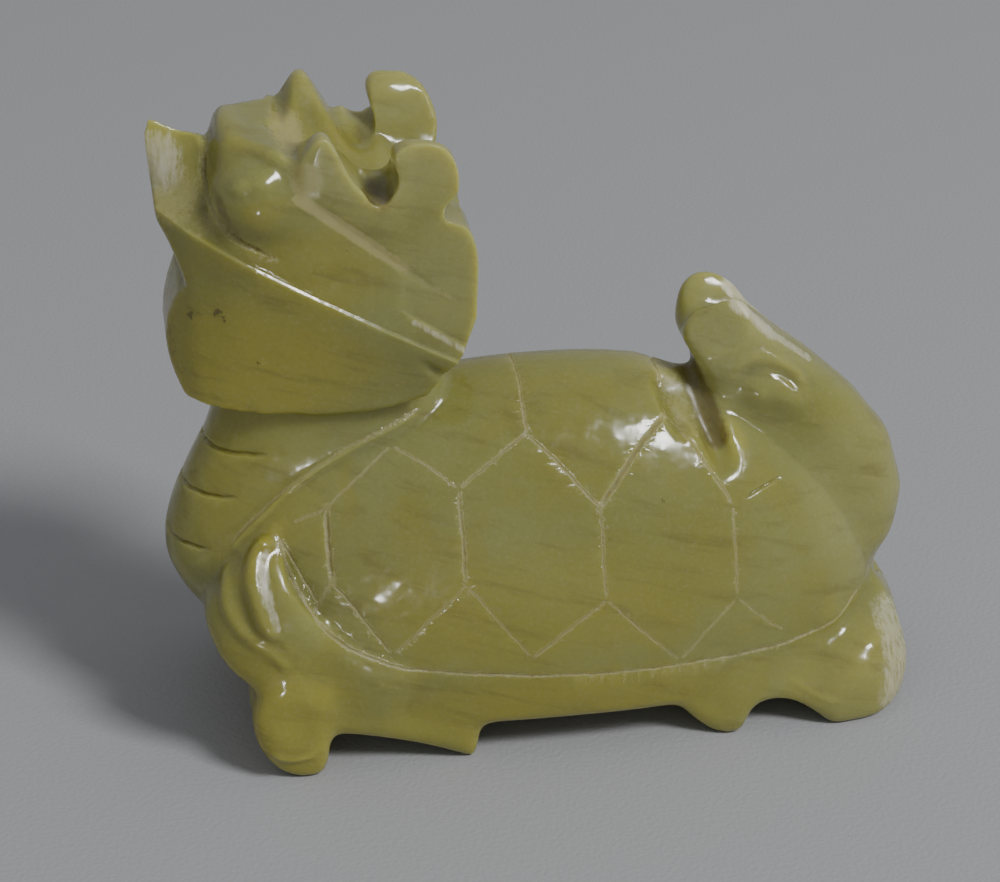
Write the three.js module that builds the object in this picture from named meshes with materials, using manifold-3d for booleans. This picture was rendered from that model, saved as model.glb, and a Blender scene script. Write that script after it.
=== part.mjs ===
// A dragon turtle carved from one pebble of translucent yellow-green stone.
//
// It stands on its feet with its head towards -X and its tail towards +X, +Z up, and it is
// alike on both sides of the plane y = 0. The origin is on the floor, under the middle of its
// bounding box. The carver worked from flat cuts and round bulges, so the solid is put together
// the same way: a domed shell, a neck, legs and a tail slab are joined, the head is a faceted
// wedge cut to its side outline, and slots and V-shaped strokes are cut last.
import * as THREE from "three";
import { mergeVertices } from "three/addons/utils/BufferGeometryUtils.js";
import Module from "manifold-3d";

const wasm = await Module();
wasm.setup();

// Driving sizes, in millimetres
const LENGTH = 56.2; // breast to the back of the tail
const WIDTH = 22.6; // across the fore paws, which is also the width of the shell
const HEIGHT = 48; // floor to horn tips
const STROKE_WIDTH = 0.55; // a V-shaped line on the shell, at the surface
const STROKE_DEPTH = 0.42;
const SLOT_WIDTH = 1.8; // the saw cut between the shell and the tail tip
const STONE_COLOUR = 0x8a8748;

// The carving is laid out on a grid of 56.2 by 22.6 by 48 steps, which follow the sizes above.
const STEP = new THREE.Vector3(LENGTH / 56.2, WIDTH / 22.6, HEIGHT / 48);
const at = (x, y, z) => new THREE.Vector3(x, y, z).multiply(STEP);

const EPSILON = 1e-4; // vertices nearer than this are one, in millimetres
const degrees = Math.PI / 180;

// Solids

function solidOf(geometry) {
  const bare = geometry.index ? geometry.toNonIndexed() : geometry.clone();
  bare.deleteAttribute("normal");
  bare.deleteAttribute("uv");
  const merged = mergeVertices(bare, EPSILON);
  const solid = (triVerts) =>
    new wasm.Manifold(
      new wasm.Mesh({ numProp: 3, vertProperties: merged.attributes.position.array, triVerts }),
    );
  const faces = new Uint32Array(merged.index.array);
  const made = solid(faces);
  return made.volume() > 0 ? made : solid(faces.reverse());
}

function geometryOf(solid) {
  const mesh = solid.getMesh();
  return new THREE.BufferGeometry()
    .setAttribute("position", new THREE.BufferAttribute(new Float32Array(mesh.vertProperties), 3))
    .setIndex(new THREE.BufferAttribute(new Uint32Array(mesh.triVerts), 1));
}

// A closed skin over rings of points, all with the same count, with a fan over each end.
function loft(rings) {
  const count = rings[0].length;
  const middles = [rings[0], rings.at(-1)].map((ring) =>
    ring.reduce((sum, p) => sum.add(p), new THREE.Vector3()).divideScalar(count),
  );
  const points = [...rings.flat(), ...middles];
  const firstMiddle = count * rings.length;
  const faces = [];
  for (let i = 0; i < count; i++) {
    const next = (i + 1) % count;
    for (let row = 0; row + 1 < rings.length; row++) {
      const a = row * count;
      const b = a + count;
      faces.push(a + i, a + next, b + i, b + i, a + next, b + next);
    }
    const last = (rings.length - 1) * count;
    faces.push(firstMiddle, next, i, firstMiddle + 1, last + i, last + next);
  }
  const geometry = new THREE.BufferGeometry().setFromPoints(points);
  geometry.setIndex(faces);
  return solidOf(geometry);
}

// A rounded lump with half sizes rx, ry, rz, tipped by lean radians about the Y axis.
function lump(x, y, z, rx, ry, rz, lean = 0, facets = 20) {
  const ball = new THREE.SphereGeometry(1, facets, facets / 2);
  ball.scale(rx, ry, rz);
  ball.rotateY(lean);
  ball.translate(x, y, z);
  ball.scale(STEP.x, STEP.y, STEP.z);
  return solidOf(ball);
}

// A side outline, drawn as x and z, given thickness from y = near to y = far, with its corners
// eased by bevel.
function slab(outline, near, far, bevel = 0) {
  const plate = new THREE.ExtrudeGeometry(outline, {
    depth: far - near - 2 * bevel,
    curveSegments: 5,
    bevelEnabled: bevel > 0,
    bevelThickness: bevel,
    bevelSize: bevel,
    bevelOffset: -bevel,
    bevelSegments: 2,
  });
  plate.rotateX(Math.PI / 2);
  plate.translate(0, far - bevel, 0);
  plate.scale(STEP.x, STEP.y, STEP.z);
  return solidOf(plate);
}

// A wedge-shaped trough along the middle. Each station is a place, the height of its bottom and
// its half width at the height called level.
function trough(stations, level) {
  const reach = 1.8; // how much taller the wedge is than it is up to the level
  return loft(
    stations.map(([x, floor, half]) => {
      const top = floor + reach * (level - floor);
      return [at(x, 0, floor), at(x, reach * half, top), at(x, -reach * half, top)];
    }),
  );
}

// Reads a value off a table of rows that start with the place it belongs to.
function lookUp(table, place, column) {
  const above = Math.max(1, table.findIndex((row) => row[0] >= place));
  const [low, high] = [table[above - 1], table[above]];
  const share = (place - low[0]) / (high[0] - low[0]);
  return THREE.MathUtils.lerp(low[column], high[column], share);
}

const joined = (solids) => solids.reduce((all, solid) => all.add(solid));
const mirrored = (make) => joined([-1, 1].map(make)); // near side is -1, far side is 1

// Superellipse: how far the curve is from its axis at share u of its half length.
const bow = (u, power) => Math.pow(Math.max(0, 1 - Math.pow(Math.abs(u), power)), 1 / power);

// Body

const SHELL = {
  fore: 30, // half lengths of the full dome; the front of it is cut off
  hind: 25.5,
  half: 11.3,
  rim: 7, // height of the rim over the floor
  rise: 20.4, // height of the dome over the rim
  planPower: 2.4,
  sidePower: 2.2,
  belly: 2.7,
};

// Half width and rise of the shell's section at x.
function shellSection(x) {
  const u = x / (x < 0 ? SHELL.fore : SHELL.hind);
  return {
    half: SHELL.half * bow(u, SHELL.planPower),
    rise: SHELL.rise * bow(u, SHELL.sidePower),
  };
}

// A point on the shell at x, with turn 0 at the rim of a side and pi / 2 on the spine.
function onShell(x, turn, side) {
  const { half, rise } = shellSection(x);
  return at(x, side * half * Math.cos(turn), SHELL.rim + rise * Math.sin(turn));
}

// The dome and the skirt under it. A share under 1 makes a smaller one inside it.
function shellBody(share = 1) {
  const stations = 22;
  const arch = 20;
  const rings = [];
  for (let i = 0; i <= stations; i++) {
    const swing = Math.cos(Math.PI * (1 - (i + 0.35) / (stations + 0.7)));
    const x = swing * (swing < 0 ? SHELL.fore : SHELL.hind);
    const { half, rise } = shellSection(x);
    const ring = [];
    for (let k = 0; k <= arch; k++) {
      const turn = (Math.PI * k) / arch;
      ring.push(at(x, share * half * Math.cos(turn), SHELL.rim + share * rise * Math.sin(turn)));
    }
    const skirt = [[0.985, 5.0], [0.965, SHELL.belly + 0.6], [0.92, SHELL.belly]];
    for (const [part, z] of skirt) ring.push(at(x, -part * share * half, z));
    for (const [part, z] of skirt.toReversed()) ring.push(at(x, part * share * half, z));
    rings.push(ring);
  }
  return loft(rings);
}

// Side outline of what is kept of the dome: its front is cut off along a slanting collar.
function collarOutline() {
  const kept = new THREE.Shape();
  kept.moveTo(28, 0);
  kept.lineTo(28, 30);
  kept.lineTo(-3.5, 29.4);
  kept.lineTo(-8.9, 26.4);
  kept.quadraticCurveTo(-18.6, 22.4, -24.9, 15.9);
  kept.lineTo(-24.6, 12);
  kept.lineTo(-22, 6);
  kept.lineTo(-19, 2);
  return kept;
}

// Neck and breast: flat oval levels of height, front edge, back edge and half width.
const NECK_BACK = -6; // where most levels end, inside the shell
const NECK = [
  [3.2, -20.5, NECK_BACK, 4.4],
  [6, -22.4, NECK_BACK, 5.6],
  [9, -25.2, NECK_BACK, 6.6],
  [11.5, -27.3, NECK_BACK, 6.8],
  [14, -28.5, NECK_BACK, 6.4],
  [16.4, -28.4, NECK_BACK, 5.7],
  [19.4, -27.4, NECK_BACK, 5.1],
  [22, -26.1, NECK_BACK, 4.9],
  [24.2, -25.0, -6.4, 4.7],
  [26.5, -24.2, -7.2, 4.6],
  [30, -23.2, -8.5, 4.6],
];

// A point of the neck at height z, with turn 0 at the back and pi at the front.
function onNeck(z, turn) {
  const [front, back, half] = [1, 2, 3].map((column) => lookUp(NECK, z, column));
  const squared = (value) => Math.sign(value) * Math.abs(value) ** 0.8;
  const x = (front + back) / 2 + ((back - front) / 2) * squared(Math.cos(turn));
  return at(x, half * squared(Math.sin(turn)), z);
}

function neck() {
  const around = 24;
  return loft(
    NECK.map(([z]) => Array.from({ length: around }, (_, i) => onNeck(z, (2 * Math.PI * i) / around))),
  );
}

// Legs

function foreLeg(side) {
  const upper = new THREE.Shape(); // its back edge follows the line round the shell's rim
  upper.moveTo(-20.9, 19.0);
  upper.quadraticCurveTo(-19.6, 12.6, -15, 9.7);
  upper.lineTo(-11, 8);
  upper.lineTo(-14, 3);
  upper.lineTo(-20, 4);
  upper.lineTo(-22, 6.3);
  upper.quadraticCurveTo(-25.9, 9, -26.2, 12.8);
  upper.quadraticCurveTo(-24.8, 15.2, -20.9, 19.0);
  const arm = new THREE.Shape();
  arm.moveTo(-19, 7);
  arm.lineTo(-17.2, 2.9);
  arm.quadraticCurveTo(-12, 2.2, -6.7, -0.3);
  arm.lineTo(-6.2, 2.8);
  arm.quadraticCurveTo(-6.0, 3.6, -4.6, 4.2);
  arm.lineTo(-5, 7);
  const paw = new THREE.Shape();
  paw.moveTo(-17.3, 7.2);
  paw.lineTo(-17.5, 3.0);
  paw.quadraticCurveTo(-17.7, 0, -18.4, -0.3);
  paw.lineTo(-20.0, -0.3);
  paw.quadraticCurveTo(-23.2, 1.2, -23.2, 5);
  paw.quadraticCurveTo(-22.9, 7.6, -20.6, 8.4);
  const muscle = shellBody(1.06).add(lump(-20.4, side * 5.0, 10.2, 7.2, 5.9, 8.2, 0.2, 18));
  return joined([
    muscle.intersect(slab(upper, ...span(side, 3, 11.2))),
    slab(arm, ...span(side, 4.8, 10.6), 0.3),
    slab(paw, ...span(side, 4.8, 11.3), 0.55),
  ]);
}

// The two y limits of something that runs from inner to outer on a side.
const span = (side, inner, outer) => (side < 0 ? [-outer, -inner] : [inner, outer]);

// Both hind legs and the rump, as flat levels of height, front and back edge, half width and how
// far the plan is squared off.
function rump() {
  const levels = [
    [-0.4, 7, 26.4, 10.6, 0.45],
    [1.0, 7, 27.3, 10.7, 0.45],
    [3.4, 5, 27.8, 10.7, 0.5],
    [6.0, -2, 27.4, 10.5, 0.65],
    [8.4, -10, 26.3, 10.2, 0.8],
    [10.6, -14, 25.0, 9.4, 0.9],
    [13, -14, 24.4, 7.4, 0.9],
  ];
  const around = 24;
  return loft(
    levels.map(([z, front, back, half, flat]) =>
      Array.from({ length: around }, (_, i) => {
        const turn = (2 * Math.PI * (i + 0.5)) / around;
        const [c, s] = [Math.cos(turn), Math.sin(turn)];
        const x = (front + back) / 2 + ((back - front) / 2) * Math.sign(c) * Math.abs(c) ** flat;
        return at(x, half * Math.sign(s) * Math.abs(s) ** flat, z);
      }),
    ),
  );
}

function hindLegs() {
  const foot = new THREE.Shape();
  foot.moveTo(8.0, 6.8);
  foot.lineTo(8.4, 2.6);
  foot.quadraticCurveTo(11, 0.2, 12.2, -0.3);
  foot.lineTo(13.2, -0.3);
  foot.quadraticCurveTo(13.9, 0.4, 14.3, 2.0);
  foot.quadraticCurveTo(17, 3.7, 20.8, -0.3);
  foot.lineTo(24.0, -0.3);
  foot.lineTo(29, 2);
  foot.lineTo(29, 13.5);
  foot.lineTo(24.6, 12.6); // from here the top follows the line round the shell's rim
  foot.quadraticCurveTo(23.4, 8.2, 19.5, 7.5);
  foot.lineTo(13, 7);
  const arch = new THREE.Shape(); // the gap between the two legs
  arch.moveTo(6, -2);
  arch.lineTo(6, 2.9);
  arch.quadraticCurveTo(20, 3.4, 29, 6);
  arch.lineTo(29, -2);
  return rump()
    .intersect(slab(foot, -12, 12))
    .subtract(slab(arch, -4.6, 4.6));
}

// Tail

// Sections from the tip to the root: front edge, back edge, half thickness and how far the
// section is squared off.
const TAIL_SECTIONS = [
  [[11.5, 32.4], [13.3, 32.8], 2.3, 0.6],
  [[10.4, 31.5], [14.6, 31.9], 2.5, 0.55],
  [[9.8, 29.9], [15.4, 30.5], 2.8, 0.55],
  [[10.1, 27.6], [17.3, 28.7], 3.2, 0.6],
  [[11.4, 24.6], [20.4, 26.3], 3.7, 0.75],
  [[12.7, 22.0], [23.6, 23.4], 4.1, 0.85],
  [[13.5, 19.0], [26.5, 19.7], 4.4, 0.9],
  [[13.5, 15.0], [27.8, 15.2], 4.6, 0.9],
  [[14.0, 11.0], [27.3, 11.5], 4.5, 0.9],
  [[16.0, 8.4], [25.8, 9.2], 4.2, 0.9],
];

function tail() {
  const around = 20;
  const bend = (value, flat) => Math.sign(value) * Math.abs(value) ** flat;
  const body = loft(
    TAIL_SECTIONS.map(([front, back, half, flat]) =>
      Array.from({ length: around }, (_, i) => {
        const turn = (2 * Math.PI * (i + 0.5)) / around;
        const reach = (1 + bend(Math.cos(turn), flat)) / 2;
        const x = THREE.MathUtils.lerp(front[0], back[0], reach);
        const z = THREE.MathUtils.lerp(front[1], back[1], reach);
        return at(x, half * bend(Math.sin(turn), flat), z);
      }),
    ),
  );
  const boss = (side) => lump(16.4, side * 3.1, 24.9, 1.5, 1.2, 1.5, 0, 16);
  const parting = trough([[8.5, 26.6, 2.4], [11.6, 30.4, 1.7], [14.4, 29.4, 1.4], [18, 28, 0.7]], 33);
  return body.add(mirrored(boss)).subtract(mirrored(bossRing)).subtract(parting);
}

// The curl cut over the boss.
function bossRing(side) {
  const out = new THREE.Vector3(0, side, 0);
  const radius = 2.7;
  const steps = 8;
  const path = [];
  for (let i = 0; i <= steps; i++) {
    const turn = THREE.MathUtils.lerp(0.3, 3.6, i / steps);
    const rise = radius * Math.sin(turn);
    path.push({ point: at(16.4 + radius * Math.cos(turn), side * (3.6 - 0.12 * rise), 24.9 + rise), out });
  }
  return stroke(path, STROKE_WIDTH, STROKE_DEPTH);
}

// A saw cut between the back of the shell and the tail tip. It is made in from each side and
// slants downwards, so that it leaves a ridge under the spine.
function tailSlot() {
  const slot = new THREE.Shape();
  slot.moveTo(12.3, 19.4);
  slot.lineTo(13.3, 20.4);
  slot.lineTo(10.9 + SLOT_WIDTH / 2, 25);
  slot.lineTo(9.6 + SLOT_WIDTH / 2, 28.5);
  slot.lineTo(9.4 - SLOT_WIDTH / 2, 28.5);
  slot.lineTo(11.0 - SLOT_WIDTH / 2, 24);
  const ridge = [[-9.5, 17.6], [0, 26.4], [9.5, 17.6], [9.5, 0], [-9.5, 0]];
  const below = loft([6, 17].map((x) => ridge.map(([y, z]) => at(x, y, z))));
  return slab(slot, -12, 12).subtract(below);
}

// Head

// Half widths of the head at x, at the chin, along the lip ridge and at the top, and their heights.
const LIP = { x: -27.7, z: 42.4, fall: 0.56 };
const lipHeight = (x) => LIP.z - LIP.fall * (x - LIP.x);
const HEAD_STATIONS = [
  // place, half widths at the chin, along the lip, at the cheek and at the top, top's height
  [-28.6, 0.4, 1.5, 0.3, 0.02, 47.9],
  [-27.6, 2.2, 2.7, 1.1, 0.05, 47.7],
  [-25.6, 4.3, 4.5, 2.4, 0.1, 47.2],
  [-24.1, 4.8, 5.3, 3.3, 0.2, 46.8],
  [-23.2, 5.0, 5.8, 5.2, 2.8, 47.7],
  [-21.6, 5.2, 6.3, 6.2, 3.3, 48.0],
  [-19.6, 5.4, 6.6, 6.7, 4.6, 48.4],
  [-17.5, 5.5, 6.9, 6.9, 6.7, 49.5],
  [-13, 5.6, 7.1, 7.0, 6.9, 49.5],
  [-5, 5.0, 6.9, 6.8, 6.6, 49.5],
];

function headWedge() {
  return loft(
    HEAD_STATIONS.map(([x, chin, lip, cheek, top, crown]) => {
      const rim = lipHeight(x);
      const half = [
        [chin * 0.6, 25],
        [chin, 27],
        [lip, rim],
        [cheek, Math.max(43.6, rim + 1)],
        [top, crown],
      ];
      return [
        ...half.map(([y, z]) => at(x, -y, z)),
        ...half.toReversed().map(([y, z]) => at(x, y, z)),
      ];
    }),
  );
}

function headOutline() {
  const head = new THREE.Shape();
  head.moveTo(-27.7, 41.4); // upper lip
  head.lineTo(-28.1, 46.6);
  head.lineTo(-27.8, 47.8); // snout tip
  head.lineTo(-24.1, 46.5);
  head.lineTo(-23.6, 45.6);
  head.quadraticCurveTo(-23.2, 47.3, -22.1, 47.5); // brow
  head.lineTo(-19.0, 46.9);
  head.lineTo(-18.4, 46.2);
  head.lineTo(-17.1, 47.5);
  head.quadraticCurveTo(-16.4, 48.4, -15.8, 47.3); // first horn
  head.lineTo(-14.0, 44.5);
  head.quadraticCurveTo(-12.6, 42.9, -11.6, 44.6); // gap between the horns
  head.quadraticCurveTo(-11.6, 45.8, -12.0, 46.8);
  head.quadraticCurveTo(-11.8, 47.9, -10.4, 48.0); // second horn, a round curl
  head.quadraticCurveTo(-7.2, 47.9, -7.1, 44.2);
  head.lineTo(-7.9, 41.7);
  head.quadraticCurveTo(-6.0, 41.8, -5.8, 38.4); // lock of the mane
  head.lineTo(-6.0, 34.2);
  head.lineTo(-7.0, 31.4);
  head.lineTo(-9.4, 28.0);
  head.quadraticCurveTo(-11.6, 26.9, -16, 26.8); // jaw
  head.lineTo(-22, 27.3);
  head.lineTo(-26.4, 28.2);
  head.quadraticCurveTo(-28.3, 31.8, -27.0, 35.2); // lower lip
  head.lineTo(-26.4, 36.5);
  head.lineTo(-25.9, 36.8);
  head.quadraticCurveTo(-26.6, 39.6, -27.7, 41.4); // open mouth
  return head;
}

function head() {
  const hornValley = trough(
    [
      [-20.1, 47.2, 0.9],
      [-18.9, 45.9, 3.2],
      [-17.4, 44.9, 5.0],
      [-15.5, 43.9, 5.3],
      [-12.0, 42.5, 5.6],
      [-8.0, 39.5, 5.7],
      [-4.0, 35.5, 5.8],
    ],
    48,
  );
  const eye = (side) => lump(-20.5, side * 3.4, 43.1, 3.8, 3.6, 3.7, 0.2, 18);
  const drill = (side) => lump(-12.7, side * 5.6, 44.1, 0.95, 2.2, 1.0, 0, 14);
  return headWedge()
    .intersect(slab(headOutline(), -9, 9))
    .subtract(hornValley)
    .add(mirrored(eye))
    .subtract(mirrored(drill));
}

// Strokes

// A V-shaped stroke along points with the surface's outward direction at each.
function stroke(path, width, depth) {
  const lift = 0.5 * depth + 0.15; // the tool's sides carry on above the surface
  const rings = path.map(({ point, out }, i) => {
    const ahead = path[Math.min(i + 1, path.length - 1)].point;
    const behind = path[Math.max(i - 1, 0)].point;
    const along = new THREE.Vector3().subVectors(ahead, behind).normalize();
    const across = new THREE.Vector3().crossVectors(along, out).normalize();
    const flare = (0.5 * width * (depth + lift)) / depth;
    return [
      point.clone().addScaledVector(out, -depth),
      point.clone().addScaledVector(out, lift).addScaledVector(across, flare),
      point.clone().addScaledVector(out, lift).addScaledVector(across, -flare),
    ];
  });
  return loft(rings);
}

// Points and outward directions along a line on the shell, given as corners of x and turn.
function alongShell(corners, side, stretch) {
  const path = [];
  for (let c = 0; c + 1 < corners.length; c++) {
    const [x0, turn0] = corners[c];
    const [x1, turn1] = corners[c + 1];
    const last = c + 2 === corners.length;
    const steps = Math.max(1, Math.ceil(Math.hypot(x1 - x0, 11 * (turn1 - turn0)) / stretch));
    for (let i = 0; i < steps + (last ? 1 : 0); i++) {
      const x = x0 + ((x1 - x0) * i) / steps;
      const turn = turn0 + ((turn1 - turn0) * i) / steps;
      const point = onShell(x, turn, side);
      const du = onShell(x + 0.05, turn, side).sub(point);
      const dv = onShell(x, turn + 0.01, side).sub(point);
      path.push({ point, out: du.cross(dv).multiplyScalar(-side).normalize() });
    }
  }
  return path;
}

const shellStroke = (corners, side, stretch = 2.4) =>
  stroke(alongShell(corners, side, stretch), STROKE_WIDTH, STROKE_DEPTH);

// Corners of the plates of the shell, as x and turn in degrees, where the carver set them out.
const UPPER_ZIGZAG = [[-19.6, 47], [-17, 48], [-12, 62], [-7.5, 46], [-2.3, 59], [2.6, 38], [8.3, 65], [12.6, 39]];
const LOWER_ZIGZAG = [
  [-19.3, 19], [-17, 28], [-12.9, 8], [-7.4, 23], [-2.7, 5], [2.8, 17], [8.4, 1], [12.8, 15], [16.7, 4],
];
const OVERRUN = 1.5 * degrees; // an upright line runs this far past the zigzag that ends it

const inRadians = (corners) => corners.map(([x, turn]) => [x, turn * degrees]);

// Lines between the plates of one side: two zigzags, with an upright seam wherever a low corner
// of the upper one stands over a high corner of the lower one.
function scuteStrokes(side) {
  const [upper, lower] = [inRadians(UPPER_ZIGZAG), inRadians(LOWER_ZIGZAG)];
  const seams = upper.flatMap((top, corner) => {
    const foot = lower[corner];
    const meets = corner % 2 === 1;
    return meets ? [shellStroke([[foot[0], foot[1] - OVERRUN], [top[0], top[1] + OVERRUN]], side)] : [];
  });
  return joined([...seams, shellStroke(upper, side), shellStroke(lower, side)]);
}

// Lines that cross the spine from side to side, between high corners of the upper zigzags that
// stand behind the head.
function spineStrokes() {
  const behindHead = inRadians(UPPER_ZIGZAG).filter(([x], corner) => corner % 2 === 0 && x > NECK_BACK);
  return joined(
    behindHead.map(([x, turn]) => shellStroke([[x, turn - OVERRUN], [x, Math.PI - turn + OVERRUN]], 1)),
  );
}

// The line round the rim, which climbs to the collar at the front.
function rimStroke(side) {
  const corners = [
    [-20.6, 46], [-19.2, 26], [-17.3, 14], [-12.3, 6], [-6, 2], [2, 0], [11, 0], [17.5, 0], [22.9, 8],
  ];
  const curve = new THREE.CatmullRomCurve3(corners.map(([x, turn]) => new THREE.Vector3(x, turn, 0)));
  const points = curve.getPoints(20).map(({ x, y }) => [x, y]);
  return shellStroke(inRadians(points), side, 9);
}

// Three folds across the breast, as their height and how far round the neck they reach each way.
const FOLDS = [[23.5, 1.05], [20.2, 0.95], [16.6, 0.8]];

function breastStroke([height, reach]) {
  const path = [];
  const steps = 10;
  for (let i = 0; i <= steps; i++) {
    const turn = Math.PI + THREE.MathUtils.lerp(-reach, reach, i / steps);
    const point = onNeck(height, turn);
    const around = onNeck(height, turn + 0.02).sub(point);
    const upward = onNeck(height + 0.2, turn).sub(point);
    path.push({ point, out: around.cross(upward).normalize() });
  }
  return stroke(path, STROKE_WIDTH, STROKE_DEPTH);
}

// A short crease on the shell beside the tail.
const creaseStroke = (side) => shellStroke(inRadians([[13.6, 41], [16.9, 50.5]]), side);

// A shallow gouge on each cheek, behind the eye.
function cheekStroke(side) {
  const ends = [[-17.5, 6.75, 43.6], [-12.7, 6.85, 39.9], [-8.2, 6.9, 36.2]];
  const out = new THREE.Vector3(0, side, 0);
  const path = ends.map(([x, y, z]) => ({ point: at(x, side * y, z), out }));
  return stroke(path, 1.0, 0.4);
}

// Build

function dragonTurtle() {
  const floor = new THREE.BoxGeometry(2 * LENGTH, 2 * LENGTH, LENGTH);
  floor.translate(0, 0, -LENGTH / 2);
  return shellBody()
    .intersect(slab(collarOutline(), -12, 12))
    .subtract(tailSlot())
    .add(hindLegs())
    .add(tail().subtract(tailSlot()))
    .subtract(mirrored(scuteStrokes))
    .subtract(spineStrokes())
    .subtract(mirrored(creaseStroke))
    .add(neck().subtract(joined(FOLDS.map(breastStroke))))
    .add(mirrored(foreLeg))
    .subtract(mirrored(rimStroke))
    .add(head().subtract(mirrored(cheekStroke)))
    .subtract(solidOf(floor));
}

const carving = geometryOf(dragonTurtle());
carving.computeBoundingBox();
carving.translate(-carving.boundingBox.getCenter(new THREE.Vector3()).x, 0, 0);

const figure = new THREE.Mesh(
  carving,
  new THREE.MeshStandardMaterial({ color: STONE_COLOUR, roughness: 0.25, metalness: 0 }),
);
figure.name = "dragon_turtle";

const group = new THREE.Group();
group.add(figure);
export default group;
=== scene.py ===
# %% [markdown]
# A dragon turtle carved from one pebble of yellow-green stone, about the length of a thumb.
# The real thing was sawn to shape, ground round, polished, and then lined with a thin cutting
# wheel. This lesson works in the same order: it takes the plain solid from the frame, rounds it
# over, cuts the lines into it, and leaves the cuts unpolished. One block of stone stays one mesh.

# %% Tools and frame
import math

import bmesh
import bpy
import numpy as np
from mathutils import Matrix, Vector


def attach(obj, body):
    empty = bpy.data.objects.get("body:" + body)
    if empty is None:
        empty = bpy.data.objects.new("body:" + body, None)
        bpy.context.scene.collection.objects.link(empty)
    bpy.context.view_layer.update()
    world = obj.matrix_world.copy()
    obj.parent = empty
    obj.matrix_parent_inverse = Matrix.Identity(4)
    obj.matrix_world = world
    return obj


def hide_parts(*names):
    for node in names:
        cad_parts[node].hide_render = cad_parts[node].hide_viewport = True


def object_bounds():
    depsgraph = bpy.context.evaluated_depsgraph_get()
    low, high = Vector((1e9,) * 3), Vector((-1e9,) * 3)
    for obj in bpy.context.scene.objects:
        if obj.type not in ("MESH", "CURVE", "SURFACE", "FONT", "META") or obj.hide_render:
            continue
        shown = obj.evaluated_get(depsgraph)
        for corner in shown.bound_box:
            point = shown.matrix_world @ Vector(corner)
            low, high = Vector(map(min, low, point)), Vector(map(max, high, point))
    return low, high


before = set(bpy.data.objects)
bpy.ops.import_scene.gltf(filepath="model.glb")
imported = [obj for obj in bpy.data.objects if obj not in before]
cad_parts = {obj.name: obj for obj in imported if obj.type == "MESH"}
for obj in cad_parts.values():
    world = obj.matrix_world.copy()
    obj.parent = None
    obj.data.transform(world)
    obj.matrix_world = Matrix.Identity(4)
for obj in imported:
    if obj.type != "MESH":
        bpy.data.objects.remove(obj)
solid_low, solid_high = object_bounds()
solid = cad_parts["dragon_turtle"]
print("the solid's box in metres:", solid_low, solid_high)

# %% [markdown]
# The carving is thought out in millimetres, on the grid that the carver's drawing would have:
# x runs from the breast to the tail, and the breast's front lies at -28.5. The frame puts its
# origin under the middle of the box, so one shift takes the grid to the frame.

# %% Units
MM = 0.001
BREAST_FRONT = -28.5
SHIFT = solid_low[0] / MM - BREAST_FRONT


def to_frame(x, y, z):
    """A point of the carver's grid, in the frame's metres."""
    return Vector(((x + SHIFT) * MM, y * MM, z * MM))


print("the grid is shifted by", round(SHIFT, 3), "mm")

# %% [markdown]
# The photograph was taken from the figure's left, a little towards its head and looking down,
# from about twenty centimetres. The camera comes first, because the light is judged through it.

# %% Camera
CAMERA_TURN = math.radians(-9)
CAMERA_RISE = math.radians(28)
CAMERA_DISTANCE = 206.55
CAMERA_TARGET = (-3.31, 0.0, 20.88)

camera_data = bpy.data.cameras.new("camera")
camera_data.lens = 100
camera_data.sensor_width = 36
camera_data.clip_start = 0.005
camera = bpy.data.objects.new("camera", camera_data)
bpy.context.scene.collection.objects.link(camera)
bpy.context.scene.camera = camera
backwards = Vector((
    math.sin(CAMERA_TURN) * math.cos(CAMERA_RISE),
    -math.cos(CAMERA_TURN) * math.cos(CAMERA_RISE),
    math.sin(CAMERA_RISE),
))
camera.location = to_frame(*CAMERA_TARGET) + backwards * CAMERA_DISTANCE * MM
camera.rotation_euler = backwards.to_track_quat("Z", "Y").to_euler()
print("the camera stands at", [round(v, 4) for v in camera.location])

# %% [markdown]
# The stone is polished, so what it mirrors matters as much as what lights it. The main panel
# stands high at the front right and throws the soft shadow to the left. A small card that lies
# low at the front is what the paw and the front plates mirror, and a weak panel further right is
# what the bevel of the lip mirrors. The room gives the rest.

# %% Light
def panel(name, place, aim, width, height, power):
    """A soft rectangular light at a place, aimed at a point, both in the grid's millimetres."""
    data = bpy.data.lights.new(name, "AREA")
    data.shape = "RECTANGLE"
    data.size = width * MM
    data.size_y = height * MM
    data.energy = power
    lamp = bpy.data.objects.new(name, data)
    bpy.context.scene.collection.objects.link(lamp)
    lamp.location = to_frame(*place)
    lamp.rotation_euler = (to_frame(*place) - to_frame(*aim)).to_track_quat("Z", "Y").to_euler()
    return lamp


FIGURE_MIDDLE = (0, 0, 20)


def round_the_figure(azimuth, rise, distance):
    """A place seen from the figure's middle: azimuth from +X towards +Y, and rise, in degrees."""
    azimuth, rise = math.radians(azimuth), math.radians(rise)
    return (
        distance * math.cos(azimuth) * math.cos(rise),
        distance * math.sin(azimuth) * math.cos(rise),
        FIGURE_MIDDLE[2] + distance * math.sin(rise),
    )


# place, width and height in millimetres, and power in watts
PANELS = {
    "main_panel": (round_the_figure(-46, 46, 900), 210, 210, 6.1),
    "low_front_card": ((-36, -138, 6), 6, 9, 0.011),
    "right_panel": (round_the_figure(-38, 31, 600), 36, 50, 0.09),
}
for name, (place, width, height, power) in PANELS.items():
    panel(name, place, FIGURE_MIDDLE, width, height, power)

ROOM_COLOUR = (0.95, 0.96, 1.0, 1)
ROOM_STRENGTH = 0.37
room = bpy.data.worlds.new("room")
room.use_nodes = True
room.node_tree.nodes["Background"].inputs["Color"].default_value = ROOM_COLOUR
room.node_tree.nodes["Background"].inputs["Strength"].default_value = ROOM_STRENGTH
bpy.context.scene.world = room
print(len(PANELS), "lights and a room")

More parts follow.
